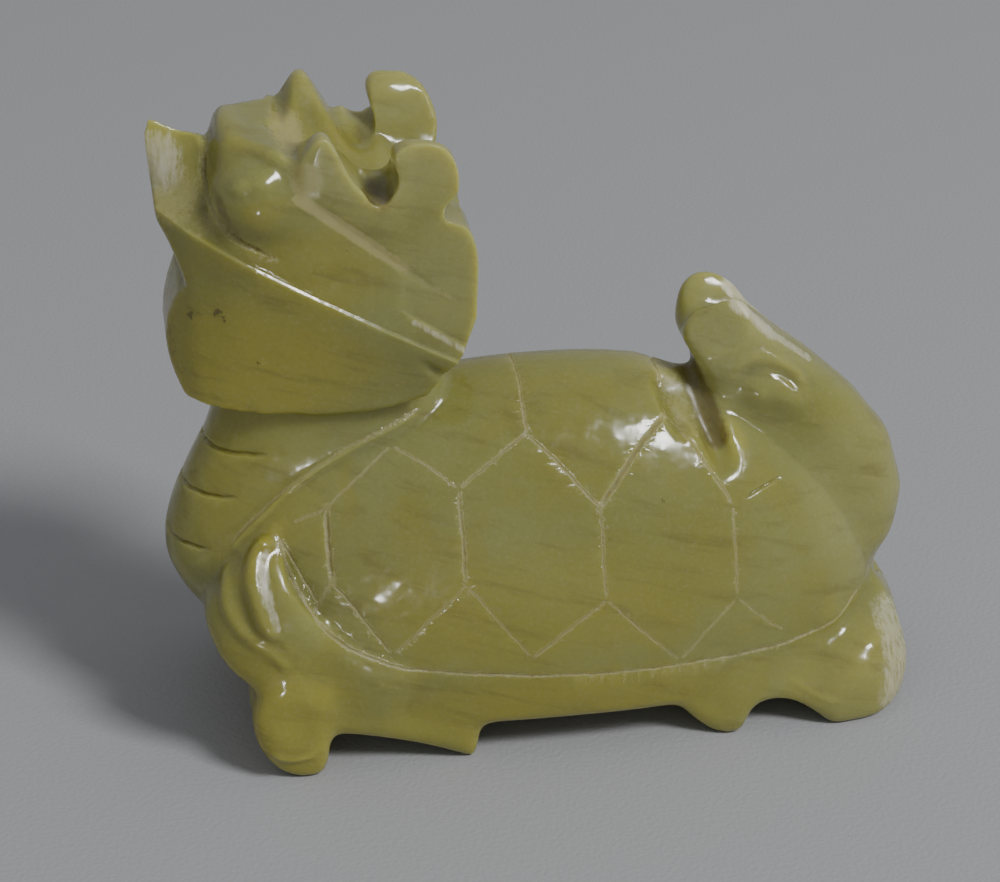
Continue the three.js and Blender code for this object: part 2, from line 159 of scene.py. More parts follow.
# %% [markdown]
# The floor is a plain pale sheet with the faint fibre of paper, far larger than the view. It is
# staging and stays out of the part.

# %% Floor
def new_material(name):
    """A material with node tools: its tree, and its Principled shader."""
    material = bpy.data.materials.new(name)
    material.use_nodes = True
    return material, material.node_tree, material.node_tree.nodes["Principled BSDF"]


FLOOR_HALF = 1500
floor_mesh = bpy.data.meshes.new("floor")
floor_mesh.from_pydata(
    [to_frame(x, y, 0) for x, y in ((-FLOOR_HALF, -FLOOR_HALF), (FLOOR_HALF, -FLOOR_HALF),
                                    (FLOOR_HALF, FLOOR_HALF), (-FLOOR_HALF, FLOOR_HALF))],
    [], [(0, 1, 2, 3)],
)
floor = bpy.data.objects.new("floor", floor_mesh)
bpy.context.scene.collection.objects.link(floor)

PAPER_COLOUR = (0.355, 0.358, 0.37, 1)
FIBRES_PER_METRE = 2500
FIBRE_HEIGHT = 0.2
paper, tree, shader = new_material("pale_paper")
shader.inputs["Base Color"].default_value = PAPER_COLOUR
shader.inputs["Roughness"].default_value = 0.9
fibre = tree.nodes.new("ShaderNodeTexNoise")
fibre.inputs["Scale"].default_value = FIBRES_PER_METRE
fibre.inputs["Detail"].default_value = 3
fibre_bump = tree.nodes.new("ShaderNodeBump")
fibre_bump.inputs["Strength"].default_value = 0.35
fibre_bump.inputs["Distance"].default_value = FIBRE_HEIGHT * MM
place = tree.nodes.new("ShaderNodeTexCoord")
tree.links.new(place.outputs["Object"], fibre.inputs["Vector"])
tree.links.new(fibre.outputs["Fac"], fibre_bump.inputs["Height"])
tree.links.new(fibre_bump.outputs["Normal"], shader.inputs["Normal"])
floor_mesh.materials.append(paper)
print("the floor is ready")

# %% [markdown]
# The block: the frame's solid is faceted, like a pebble fresh from the saw. A voxel remesh turns
# it into an even net of small squares, which can be moved about freely. It is worked in
# millimetres, because the remesh likes sizes near one, and goes back to metres at the end.

# %% Even net over the solid
NET_SIZE = 0.25


def apply_modifiers(thing):
    """Gives a mesh object the mesh that its modifiers make, and takes the modifiers off."""
    seen = bpy.context.evaluated_depsgraph_get()
    made = bpy.data.meshes.new_from_object(thing.evaluated_get(seen))
    thing.modifiers.clear()
    thing.data = made
    return made


block_mesh = solid.data.copy()
block_mesh.transform(Matrix.Scale(1 / MM, 4))
block_mesh.transform(Matrix.Translation((-SHIFT, 0, 0)))
stone = bpy.data.objects.new("carved_dragon_turtle", block_mesh)
bpy.context.scene.collection.objects.link(stone)
net = stone.modifiers.new("net", "REMESH")
net.mode = "VOXEL"
net.voxel_size = NET_SIZE
net.adaptivity = 0
apply_modifiers(stone)
print("the net has", len(stone.data.vertices), "points")


# %% Reading and writing points
def read_points(mesh):
    points = np.empty(len(mesh.vertices) * 3)
    mesh.vertices.foreach_get("co", points)
    return points.reshape(-1, 3)


def write_points(mesh, points):
    mesh.vertices.foreach_set("co", points.ravel())
    mesh.update()


def read_edges(mesh):
    edges = np.empty(len(mesh.edges) * 2, int)
    mesh.edges.foreach_get("vertices", edges)
    return edges.reshape(-1, 2)


def read_normals(mesh):
    normals = np.empty(len(mesh.vertices) * 3)
    mesh.vertex_normals.foreach_get("vector", normals)
    return normals.reshape(-1, 3)


def ramp(value, start, end):
    """0 before start and 1 after end, with a smooth step between them."""
    share = np.clip((value - start) / (end - start), 0, 1)
    return share * share * (3 - 2 * share)


# %% [markdown]
# The shell is the one surface that was ground to a true curve, so it isn't smoothed by guess: the
# net's points that lie on it are moved onto the formula of the dome. The lines that the solid
# carries are filled by this, and are cut again later, finer than the solid could hold them.

# %% The dome of the shell
SHELL_FORE = 30
SHELL_HIND = 25.5
SHELL_HALF = 11.3
SHELL_RIM = 7
SHELL_RISE = 20.4
PLAN_POWER = 2.4
SIDE_POWER = 2.2


def bow(share, power):
    """How far a superellipse is from its axis, at a share of its half length."""
    return np.maximum(0, 1 - np.abs(share) ** power) ** (1 / power)


def shell_section(x):
    """Half width and rise of the dome at x."""
    share = x / np.where(x < 0, SHELL_FORE, SHELL_HIND)
    return SHELL_HALF * bow(share, PLAN_POWER), SHELL_RISE * bow(share, SIDE_POWER)


def on_shell(x, turn, side):
    """Points on the dome: turn is 0 at the rim of a side and a quarter circle on the spine."""
    half, rise = shell_section(x)
    return np.stack([x, side * half * np.cos(turn), SHELL_RIM + rise * np.sin(turn)], -1)


def shell_outward(x, turn, side):
    """The dome's outward directions at the same points."""
    here = on_shell(x, turn, side)
    along = on_shell(x + 0.05, turn, side) - here
    upward = on_shell(x, turn + 0.01, side) - here
    out = np.cross(along, upward) * -np.reshape(side, (-1, 1))
    return out / np.maximum(np.linalg.norm(out, axis=-1, keepdims=True), 1e-9)


SKIRT_SHARE = ([2.7, 3.3, 5.0, 7.0], [0.92, 0.965, 0.985, 1.0])  # height, share of the half width


def shell_place(points):
    """For each point: its foot on the dome or the skirt below it, and how far it lies outside."""
    x, y, z = points.T
    half, rise = shell_section(x)
    side = np.where(y < 0, -1.0, 1.0)
    across = np.abs(y) / np.maximum(half, 0.01)
    up = (z - SHELL_RIM) / np.maximum(rise, 0.01)
    share = np.maximum(np.hypot(across, up), 0.01)
    outside = np.hypot(y, z - SHELL_RIM) * (1 - 1 / share)
    target = on_shell(x, np.arctan2(up, across), side)
    skirt = half * np.interp(z, *SKIRT_SHARE)
    below = z < SHELL_RIM
    target[below] = np.stack([x, side * skirt, z], -1)[below]
    outside[below] = (np.abs(y) - skirt)[below]
    return target, outside


LINE_DEPTH = 0.5
PROUD = 0.2


def round_shell(points, normals):
    """Moves the points that lie on the shell, or in a line cut into it, onto its formula."""
    target, outside = shell_place(points)
    _, outside_ahead = shell_place(points + 0.1 * normals)
    weight = (
        ramp(outside, -LINE_DEPTH - 0.1, -LINE_DEPTH)
        * ramp(outside, PROUD, PROUD - 0.06)
        * ramp(outside_ahead - outside, 0.025, 0.045)
        * ramp(points[:, 2], 2.9, 3.3)
    )
    return points + weight[:, None] * (target - points), weight


def tuck_haunch(points):
    """Takes the haunch in towards the shell's skirt, so that it leaves no ledge under the rim."""
    x, _, z = points.T
    target, outside = shell_place(points)
    weight = (
        ramp(x, 12, 16)
        * ramp(z, 0.8, 6.6)
        * ramp(z, 11, 9)
        * ramp(outside, -0.1, 0.1)
        * ramp(outside, 3.2, 2.2)
    )
    return points + 0.9 * weight[:, None] * (target - points)


points = tuck_haunch(read_points(stone.data))
write_points(stone.data, points)
points, on_dome = round_shell(points, read_normals(stone.data))
print("points on the shell:", int((on_dome > 0.5).sum()), "of", len(points))

# %% [markdown]
# The head is a wedge with two planes a side, cheek and jaw, which meet along the lip. The lip
# stands a little proud: a narrow bevel over it catches the light as one thin bright line, and a
# short second one follows it at the back. So the sides of the head get a formula too, read off
# half widths at a few places. The brow is left out of it, because it was only rounded by eye.

# %% The sides of the head
HEAD_WIDTHS = np.array([
    # x, half width at the chin, along the lip, at the cheek and at the crown, height of the crown
    [-28.6, 0.4, 1.5, 0.3, 0.02, 47.9],
    [-27.6, 2.2, 2.7, 1.1, 0.05, 47.7],
    [-25.6, 4.3, 4.5, 2.4, 0.1, 47.2],
    [-24.1, 4.8, 5.3, 3.3, 0.2, 46.8],
    [-23.2, 5.0, 5.8, 5.2, 2.8, 47.7],
    [-21.6, 5.2, 6.3, 6.2, 3.3, 48.0],
    [-19.6, 5.4, 6.6, 6.7, 4.6, 48.4],
    [-17.5, 5.5, 6.9, 6.9, 6.7, 49.5],
    [-13, 5.6, 7.1, 7.0, 6.9, 49.5],
    [-5, 5.0, 6.9, 6.8, 6.6, 49.5],
])
CHIN_HEIGHT = 27
CHEEK_HEIGHT = 43.6
LIP_START = (-27.7, 42.4)
LIP_FALL = 0.56
LIP_BEVEL = 0.2
LIP_BEVEL_WIDTH = 0.28


def lip_height(x):
    return LIP_START[1] - LIP_FALL * (x - LIP_START[0])


def head_width(x, column):
    """A half width at x, with the bends between the rows rounded over."""
    spread = np.array([-0.7, -0.35, 0, 0.35, 0.7])
    share = np.array([0.12, 0.22, 0.32, 0.22, 0.12])
    read = np.interp(x[:, None] + spread, HEAD_WIDTHS[:, 0], HEAD_WIDTHS[:, column])
    return read @ share


ECHO_START = (-11.5, 35.35)
ECHO_FALL = 0.69


def echo_height(x):
    return ECHO_START[1] - ECHO_FALL * (x - ECHO_START[0])


def head_side(points):
    """Half width of the head at each point's x and z."""
    x, z = points[:, 0], points[:, 2]
    chin, lip, cheek, crown, crown_height = (head_width(x, column) for column in range(1, 6))
    rim = lip_height(x)
    cheek_height = np.maximum(CHEEK_HEIGHT, rim + 1)
    jaw = chin + (lip - chin) * (z - CHIN_HEIGHT) / (rim - CHIN_HEIGHT)
    face = lip + (cheek - lip) * np.clip((z - rim) / (cheek_height - rim), 0, 1)
    over = np.clip((z - cheek_height) / (crown_height - cheek_height), 0, 1)
    face += (crown - cheek) * over
    face -= LIP_BEVEL * ramp(z - rim, 0, LIP_BEVEL_WIDTH) * ramp(x, -27.5, -25.5)
    face -= LIP_BEVEL * ramp(z - echo_height(x), 0, LIP_BEVEL_WIDTH) * ramp(x, -11.8, -10.2)
    return np.where(z < rim, jaw, face)


def in_brow(points):
    """1 on the brow over the eyes, and 0 away from it."""
    x, _, z = points.T
    return ramp(x, -24.4, -23.7) * ramp(x, -17.4, -18.6) * ramp(z, 40.4, 42.2)


def true_head(points, normals):
    """Moves the points that lie on a side of the head onto its formula."""
    side = np.where(points[:, 1] < 0, -1.0, 1.0)
    outside = np.abs(points[:, 1]) - head_side(points)
    weight = (
        ramp(outside, -0.5, -0.35)
        * ramp(outside, 0.9, 0.7)
        * ramp(normals[:, 1] * side, 0.45, 0.65)
        * ramp(points[:, 2], CHIN_HEIGHT + 0.3, CHIN_HEIGHT + 1.0)
        * ramp(points[:, 0], -5.2, -6.2)
        * (1 - in_brow(points))
    )
    points = points.copy()
    points[:, 1] -= weight * outside * side
    return points, weight


points, on_head = true_head(points, read_normals(stone.data))
print("points on the sides of the head:", int((on_head > 0.5).sum()))

# %% [markdown]
# Everything else was ground by eye. Its facets are taken off by letting each point drift towards
# the middle of its neighbours, many times over, and then giving back the slow part of that drift,
# so that round parts don't shrink. The head and the tip of the tail keep their edges.

# %% Grinding
def drift(values, edges, weight, passes):
    """Evens values out over the net."""
    degree = np.bincount(edges.ravel(), minlength=len(values))[:, None]
    a, b = edges.T
    values = values.copy()
    for _ in range(passes):
        total = np.stack(
            [
                np.bincount(a, values[b, k], len(values))
                + np.bincount(b, values[a, k], len(values))
                for k in range(values.shape[1])
            ],
            -1,
        )
        values += weight * (total / degree - values)
    return values


def grind(points, edges, weight, passes):
    """Smooths points where weight is 1 and gives back what round parts lost."""
    weight = 0.6 * weight[:, None]
    smooth = drift(points, edges, weight, passes)
    lost = drift(points - smooth, edges, weight, passes)
    return smooth + lost


# %% Where to grind
HEAD_BACK = -5
HEAD_BASE = 26.6
TAIL_TIP_HEIGHT = 27
SLOT_TOP = (9.4, 28.5)
SLOT_FOOT = (12.3, 19.4)
TAIL_FRONT = (13.2, 20.4, -0.45)  # x at a height, and how x changes with height


def on_head_region(points):
    """1 on the head, 0 elsewhere."""
    x, z = points[:, 0], points[:, 2]
    return ramp(z, HEAD_BASE - 0.3, HEAD_BASE + 0.6) * ramp(x, HEAD_BACK + 1, HEAD_BACK - 0.5)


def tail_tip(points):
    """1 at the tip of the tail, 0 away from it."""
    x, z = points[:, 0], points[:, 2]
    return ramp(z, TAIL_TIP_HEIGHT, TAIL_TIP_HEIGHT + 2) * ramp(x, 5, 7)


def near_slot(points):
    """1 in the saw cut before the tail and at the tip of the tail, 0 away from them."""
    x, z = points[:, 0], points[:, 2]
    share = np.clip((SLOT_TOP[1] - z) / (SLOT_TOP[1] - SLOT_FOOT[1]), 0, 1)
    gap = np.abs(x - (SLOT_TOP[0] + share * (SLOT_FOOT[0] - SLOT_TOP[0])))
    in_cut = ramp(gap, 2.2, 1.4) * ramp(z, SLOT_FOOT[1] - 1, SLOT_FOOT[1])
    return np.maximum(in_cut, tail_tip(points))


def brow_below_crest(points):
    """1 on the brow, less on its top, and 0 where its top meets the plates."""
    x, _, z = points.T
    behind = ramp(z, 45, 46) * ramp(x, -19.8, -19.0)
    return in_brow(points) * (1 - 0.7 * ramp(z, 45.9, 46.7)) * (1 - behind)


def foot_of_spike(points):
    """1 where the brow runs into the first spike of the plates, and 0 away from it."""
    x, _, z = points.T
    return ramp(x, -15.6, -17.0) * ramp(x, -19.4, -18.4) * ramp(z, 41.5, 42.5) * ramp(z, 45.8, 44.6)


def horned_plates(points):
    """1 on the edges and the inner faces of the head's two horned plates, and 0 elsewhere."""
    x, _, z = points.T
    return ramp(x, -19.0, -18.0) * ramp(x, HEAD_BACK, HEAD_BACK - 1) * ramp(z, 36, 40)


def between_plates(points):
    """1 on the inner faces of the plates, down in the valley between them."""
    _, y, z = points.T
    return horned_plates(points) * ramp(np.abs(y), 5.9, 5.3) * ramp(z, 45, 43.5)


# the inner face of a horn: a place on it, and how its half width changes with z and with x
HORN_FACE_AT = (-10, 4.05, 45)
HORN_FACE_SLOPES = (0.53, 0.13)


def flatten_horns(points, normals):
    """Cuts and fills the inner faces of the two horns to one slanted plane each."""
    x, y, z = points.T
    side = np.where(y < 0, -1.0, 1.0)
    at_x, at_y, at_z = HORN_FACE_AT
    plane = at_y + HORN_FACE_SLOPES[0] * (z - at_z) + HORN_FACE_SLOPES[1] * (x - at_x)
    gap = np.abs(y) - plane
    weight = ramp(x, -13.0, -12.0) * ramp(z, 41.4, 44.6) * ramp(np.abs(gap), 1.6, 1.2)
    weight *= np.where(gap < 0, 1, ramp(-normals[:, 1] * side, 0.4, 0.6))
    points = points.copy()
    points[:, 1] -= weight * gap * side
    return points


def tail_front(points):
    """1 on the front of the tail, where it comes out of the slot."""
    x, _, z = points.T
    front = TAIL_FRONT[0] + TAIL_FRONT[2] * (z - TAIL_FRONT[1])
    return ramp(np.abs(x - front), 1.8, 1.0) * ramp(z, 22.2, 24.0) * ramp(z, 28, 26)


def slot_mouth(points):
    """1 where the saw cut before the tail opens on the shell, and 0 away from it."""
    x, _, z = points.T
    return ramp(x, 7.6, 9.0) * ramp(x, 17, 15.4) * ramp(z, 18, 19.5) * ramp(z, 29.0, 27.6)


# %% The grinding
edges = read_edges(stone.data)
settled = drift(on_dome[:, None], edges, 1, 5)[:, 0]
on_dome = ramp(settled, 0.8, 0.97)
crisp = np.maximum(on_head_region(points), near_slot(points))
points = grind(points, edges, (1 - on_dome) * (1 - crisp), 60)
points = grind(points, edges, between_plates(points), 50)
points = flatten_horns(points, read_normals(stone.data))
points = grind(points, edges, horned_plates(points) * (1 - on_head), 8)
points = grind(points, edges, 0.8 * on_head_region(points) * (1 - 0.8 * on_head), 9)
points = grind(points, edges, 0.9 * np.maximum(brow_below_crest(points), foot_of_spike(points)), 30)
points = grind(points, edges, 0.9 * near_slot(points), 24)
points = grind(points, edges, tail_tip(points), 70)
points = grind(points, edges, tail_front(points), 50)
print("ground smooth")

# %% [markdown]
# The two sides were carved by hand, so they differ: the near horn is lower than the far one, and
# the near half of the tail's split tip is smaller. Parts are nudged by moving a soft ball of stone.

# %% Nudging parts
def soft_ball(points, middle, reach):
    """1 in the middle of a ball or an egg, falling to 0 at its reach."""
    share = np.linalg.norm((points - middle) / reach, axis=-1)
    return np.maximum(0, 1 - share**2) ** 2


# the middle, how far the ball reaches, and how far its middle moves
NUDGES = {
    "near horn lower": ((-10.4, -6.2, 46.6), (4.2, 4.0, 4.6), (0.45, 0, -0.55)),
    "near spike higher": ((-16.3, -6.0, 47.4), (2.4, 3.0, 3.2), (0.1, 0, 0.5)),
    "far spike higher": ((-16.6, 6.0, 47.6), (3.6, 3.5, 4.2), (-0.3, 0, 0.75)),
    "far horn higher": ((-10.8, 6.2, 47.0), (4.6, 3.5, 4.6), (-0.2, 0, 0.3)),
    "far gap shallower": ((-13.1, 6.2, 43.2), (3.4, 3.6, 3.0), (-0.2, 0, 1.9)),
    "near step under the horn": ((-6.9, -6.2, 42.3), (1.6, 3.5, 1.5), (-0.9, 0, 0.1)),
    "far step under the horn": ((-6.9, 6.2, 42.3), (1.6, 3.5, 1.5), (-0.9, 0, 0.1)),
    "snout tip": ((-28.0, 0, 47.8), (2.2, 3.0, 2.6), (-0.05, 0, 0.35)),
    "brow's corner": ((-22.8, 0, 47.2), (2.0, 4.5, 1.8), (-0.2, 0, 0.45)),
    "near tail tip": ((11.7, -2.8, 31.8), (4.4, 2.7, 4.2), (1.7, -0.2, -2.0)),
    "far tail tip": ((11.4, 2.4, 32.4), (3.6, 2.6, 3.2), (-0.35, 0, 0.45)),
}
for middle, reach, shift in NUDGES.values():
    points = points + soft_ball(points, middle, reach)[:, None] * np.array(shift)
write_points(stone.data, points)
print(len(NUDGES), "parts nudged")

# %% [markdown]
# Most of what is left to carve follows paths. A path is laid on the stone by sight: rays are sent
# at it, from the side or from inside the neck, and where they land are the path's samples. Each
# sample keeps the direction out of the stone, and the direction across the path.

# %% Paths on the stone
from mathutils.bvhtree import BVHTree

SAMPLE = 0.12


def surface_tree(mesh):
    """The mesh's faces, sorted so that rays find them fast."""
    return BVHTree.FromPolygons(
        [vertex.co for vertex in mesh.vertices], [tuple(face.vertices) for face in mesh.polygons],
    )


def even_out(rows, passes):
    """Evens out rows of values along a path, with the ends kept."""
    for _ in range(passes):
        padded = np.concatenate([rows[:1], rows, rows[-1:]])
        rows = (padded[:-2] + 2 * padded[1:-1] + padded[2:]) / 4
    return rows


def running_length(spots):
    """How far along a row of places each of them lies."""
    return np.concatenate([[0], np.cumsum(np.linalg.norm(np.diff(spots, axis=0), axis=-1))])


def through(corners, smooth=True):
    """Close samples along rows of corners: the first two columns are the place in millimetres."""
    corners = np.array(corners, float)
    place = running_length(corners[:, :2])
    fine = np.linspace(0, place[-1], max(3, int(place[-1] / SAMPLE)))
    if not smooth:
        return np.stack([np.interp(fine, place, column) for column in corners.T], -1)
    slope = np.gradient(corners, place, axis=0)
    spot = np.clip(np.searchsorted(place, fine, side="right") - 1, 0, len(place) - 2)
    length = (place[spot + 1] - place[spot])[:, None]
    t = (fine - place[spot])[:, None] / length
    return (
        (1 + 2 * t) * (1 - t) ** 2 * corners[spot] + t * (1 - t) ** 2 * length * slope[spot]
        + t * t * (3 - 2 * t) * corners[spot + 1] + t * t * (t - 1) * length * slope[spot + 1]
    )


def path_of(spots, outward, width):
    """A path with its directions, its width, and 0 to 1 for how near its ends it is."""
    spots, outward = even_out(spots, 4), even_out(outward, 12)
    outward /= np.linalg.norm(outward, axis=-1, keepdims=True)
    across = np.cross(np.gradient(spots, axis=0), outward)
    across /= np.linalg.norm(across, axis=-1, keepdims=True)
    run = running_length(spots)
    half = np.broadcast_to(width, run.shape) / 2
    left = run[-1] - run
    return dict(points=spots, outward=outward, across=across, half=half, run=run, left=left)


def land(surface, starts, ways, widths):
    """A path where rays land on the stone."""
    hits = [surface.ray_cast(Vector(start), Vector(way)) for start, way in zip(starts, ways)]
    landed = [n for n, hit in enumerate(hits) if hit[0] is not None]
    spots = np.array([hits[n][0] for n in landed])
    outward = np.array([hits[n][1] for n in landed])
    return path_of(spots, outward, np.asarray(widths)[landed])


def side_path(surface, side, corners, smooth=True):
    """A path drawn on the side view through corners of x, z and width."""
    way = through(corners, smooth)
    starts = [(x, side * 20, z) for x, z, width in way]
    return land(surface, starts, [(0, -side, 0)] * len(way), way[:, 2])


def touched(points, path, margin):
    """Points near a path: their indices, their nearest samples, and how far across it they are."""
    low = path["points"].min(0) - margin
    high = path["points"].max(0) + margin
    near = np.nonzero(((points > low) & (points < high)).all(1))[0]
    best = np.empty(len(near), int)
    distance = np.empty(len(near))
    for start in range(0, len(near), 4000):
        some = slice(start, start + 4000)
        gap = points[near[some], None, :] - path["points"][None, :, :]
        square = np.einsum("ijk,ijk->ij", gap, gap)
        best[some] = square.argmin(1)
        distance[some] = square.min(1)
    close = distance < margin * margin
    near, best = near[close], best[close]
    offset = points[near] - path["points"][best]
    return near, best, np.einsum("ij,ij->i", offset, path["across"][best])


# %% [markdown]
# First the soft forms, which the grinding wheel's face left: a swell stands up along its path and
# a hollow goes down. The shoulder has a ridge with a hollow before it, the collar has an edge, the
# slot before the tail is bevelled towards the shell, and the tail curls round a boss.

# %% Swells and hollows
# height, and corners of x, z and the full width on the side view
SWELLS = {
    "shoulder ridge": (0.6, [(-20.8, 18.2, 1.6), (-22.2, 17.0, 2.2), (-22.6, 15.8, 2.4),
                             (-22.4, 14.4, 2.4), (-21.9, 12.8, 2.2), (-21.0, 11.6, 1.6)]),
    "shoulder hollow": (-0.14, [(-23.2, 15.4, 2.0), (-23.2, 13.8, 2.4), (-22.2, 12.2, 2.2),
                                (-20.8, 10.2, 1.8)]),
    "shoulder edge": (0.26, [(-24.2, 16.0, 1.4), (-24.6, 14.2, 1.6), (-23.4, 12.1, 1.6),
                             (-21.6, 10.8, 1.5), (-20.2, 8.9, 1.2)]),
    "hollow behind the shoulder": (-0.35, [(-20.1, 17.2, 1.0), (-19.6, 15.4, 2.0),
                                           (-18.6, 13.9, 2.2), (-17.2, 12.2, 1.4)]),
    "collar edge": (0.2, [(-9.5, 26.0, 0.7), (-13.1, 24.5, 0.7), (-15.7, 23.3, 0.7),
                          (-18.6, 21.5, 0.7), (-21.6, 18.9, 0.7), (-24.2, 16.3, 0.7)]),
    "slot bevel": (-1.0, [(8.6, 28.0, 3.0), (9.0, 25.6, 3.4), (9.9, 23.2, 2.6)]),
    "front plate's middle": (0.05, [(-15.8, 11.8, 2.4), (-13.2, 14.3, 3.0), (-11.0, 16.5, 2.4)]),
    "tail's curl": (0.22, [(12.8, 26.1, 1.0), (13.6, 27.2, 1.3), (14.6, 27.9, 1.5),
                           (16.0, 27.9, 1.5), (17.2, 27.3, 1.5), (18.4, 26.3, 1.4),
                           (19.2, 25.0, 1.0)]),
    "hollow under the curl": (-0.18, [(13.6, 25.6, 1.0), (14.6, 26.8, 1.2), (16.2, 26.9, 1.2),
                                      (17.6, 26.3, 1.2), (18.5, 25.2, 1.0)]),
    "hind foot's crease": (0.12, [(17.0, 4.2, 0.8), (18.6, 3.2, 0.9), (21.1, 1.9, 0.8)]),
    "paw's toe": (0.3, [(-22.4, 2.9, 0.8), (-20.6, 2.0, 0.9), (-18.4, 2.3, 0.8)]),
}


def raise_along(points, path, height):
    """Raises a smooth swell along a path, or lowers a hollow."""
    near, best, across = touched(points, path, path["half"].max() + 0.3)
    ends = ramp(path["run"], -0.3, 1.2) * ramp(path["left"], -0.3, 1.2)
    profile = np.maximum(0, 1 - (across / path["half"][best]) ** 2) ** 2
    points[near] += (height * ends[best] * profile)[:, None] * path["outward"][best]


surface = surface_tree(stone.data)
for side in (-1, 1):
    for height, corners in SWELLS.values():
        raise_along(points, side_path(surface, side, corners), height)

# %% Bosses
# the middle, how far the ball reaches, and how far its middle moves out
BOSSES = {
    "brow, behind": ((-20.5, 5.9, 45.4), (1.6, 1.6, 1.4), 0.35),
    "brow, in front": ((-22.2, 6.1, 45.3), (1.2, 1.2, 1.2), 0.4),
    "inside of the horn": ((-10.3, 5.0, 46.9), (2.4, 1.0, 1.1), -0.22),
    "haunch": ((21.6, 8.2, 8.2), (2.8, 2.2, 2.0), 0.4),
    "heel": ((23.8, 8.4, 6.8), (2.2, 2.2, 2.0), 0.35),
    "in the tail's curl": ((18.0, 3.5, 24.7), (1.9, 1.8, 1.9), 0.4),
    "before the tail's curl": ((15.1, 3.7, 25.2), (1.3, 1.5, 1.3), 0.25),
    "paw": ((-21.1, 11.2, 3.5), (2.4, 2.4, 2.3), 0.35),
}
for (x, y, z), reach, rise in BOSSES.values():
    for side in (-1, 1):
        ball = soft_ball(points, (x, side * y, z), reach)[:, None]
        points += ball * np.array([0, side * rise, 0])
points = grind(points, edges, 0.9 * slot_mouth(points), 14)
write_points(stone.data, points)
print(len(SWELLS), "swells and hollows a side, and", len(BOSSES), "bosses")

# %% [markdown]
# The carved lines were cut last, with the edge of a thin wheel. Each is a V that starts and ends
# shallow, and no two are quite the same. On the drawing the lines of the shell are corners of x
# and of degrees round the dome; the others are corners of x and height on the side view.

# %% The wheel's lines
STEEPNESS = 0.48
lines = []


def keep_line(name, path, depth=None, taper=0.8):
    """Keeps a path as a line to cut. Where no depth is given, it follows from the width."""
    run, phase = path["run"], 1.7 * len(lines)
    unsteady = 1 + 0.1 * np.sin(2.1 * run + phase) + 0.08 * np.sin(5.3 * run + 2 * phase)
    wander = 0.03 * np.sin(1.3 * run + phase) + 0.02 * np.sin(4.1 * run)
    path["points"] = path["points"] + wander[:, None] * path["across"]
    path["depth"] = 2 * STEEPNESS * path["half"] if depth is None else np.full(len(run), depth)
    path["depth"] = path["depth"] * unsteady * ramp(run, -0.25, taper)
    path["depth"] *= ramp(path["left"], -0.25, taper)
    path["name"] = name
    lines.append(path)


def shell_line(name, corners, sides=(-1, 1)):
    """A line on the dome through corners of x, degrees and width."""
    around = math.pi / 180 * SHELL_HALF
    way = through([(x, turn * around, width) for x, turn, width in corners], smooth=False)
    x, turn = way[:, 0], way[:, 1] / SHELL_HALF
    for side in sides:
        each = np.full(len(x), float(side))
        keep_line(name, path_of(on_shell(x, turn, each), shell_outward(x, turn, each), way[:, 2]))


def side_line(name, corners, sides=(-1, 1), **cut):
    """A line on the side view through corners of x, z and width."""
    for side in sides:
        keep_line(name, side_path(surface, side, corners), **cut)


# %% The lines of the shell
FINE, PLAIN, BROAD = 0.2, 0.28, 0.5
# x, degrees, and the width of the cut from there on
UPPER_ZIGZAG = [
    (-19.6, 47, FINE), (-17, 48, FINE), (-12, 62, FINE), (-7.5, 46, PLAIN), (-2.3, 59, PLAIN),
    (2.6, 38, BROAD), (8.3, 65, PLAIN), (12.6, 39, PLAIN),
]
LOWER_ZIGZAG = [
    (-18.6, 19, FINE), (-17, 28, PLAIN), (-12.9, 8, FINE), (-7.4, 23, FINE), (-2.7, 5, PLAIN),
    (2.8, 17, FINE), (8.4, 1, FINE), (12.8, 15, FINE), (16.7, 4, FINE),
]
SEAM_WIDTHS = {1: 0.5, 3: 0.32, 5: 0.24, 7: 0.2}
SPINE_CORNERS = (4, 6)
for zigzag in (UPPER_ZIGZAG, LOWER_ZIGZAG):
    for start, end in zip(zigzag, zigzag[1:]):
        shell_line("plate edge", [start, (*end[:2], start[2])])
for corner, width in SEAM_WIDTHS.items():
    shell_line("seam", [(*LOWER_ZIGZAG[corner][:2], width), (*UPPER_ZIGZAG[corner][:2], width)])
for corner in SPINE_CORNERS:
    x, turn, width = UPPER_ZIGZAG[corner]
    shell_line("spine", [(x, turn, PLAIN), (x, 180 - turn, PLAIN)], sides=(-1,))
shell_line("crease", [(13.6, 41, 0.4), (16.9, 50.5, 0.3)])
print(len(lines), "lines on the shell")

# %% The lines of the rim, the head and the neck
surface = surface_tree(stone.data)
side_line("rim", [(-20.4, 17.8, 0.3), (-20.1, 16.2, 0.32), (-19.2, 14.2, 0.34), (-17.6, 11.9, 0.4),
                  (-16.1, 10.5, 0.36), (-13.1, 9.0, 0.32), (-6, 7.7, 0.32), (2, 7.0, 0.32),
                  (11, 7.0, 0.32), (17.5, 7.1, 0.32), (21, 7.6, 0.3), (23.4, 8.9, 0.3)])
side_line("plate field's edge", [(-20.4, 18.0, 0.3), (-19.6, 16.6, 0.32), (-18.9, 15.2, 0.34),
                                 (-17.8, 13.2, 0.28)])
# the collar's shallow cut keeps a full dull share: its pale colour is a painted highlight along the
# edge of the collar
side_line("collar", [(-24.1, 16.8, 0.22), (-21.9, 19.0, 0.26), (-18.8, 21.6, 0.22),
                     (-15.8, 23.5, 0.18), (-12.8, 24.9, 0.18), (-9.8, 26.1, 0.2)], depth=0.07)
side_line("snout groove", [(-24.1, 46.0, 0.7), (-24.3, 44.4, 0.9), (-24.0, 43.0, 0.9),
                           (-23.1, 41.6, 0.8), (-21.6, 40.5, 0.6), (-20.4, 40.0, 0.4)], depth=0.3)
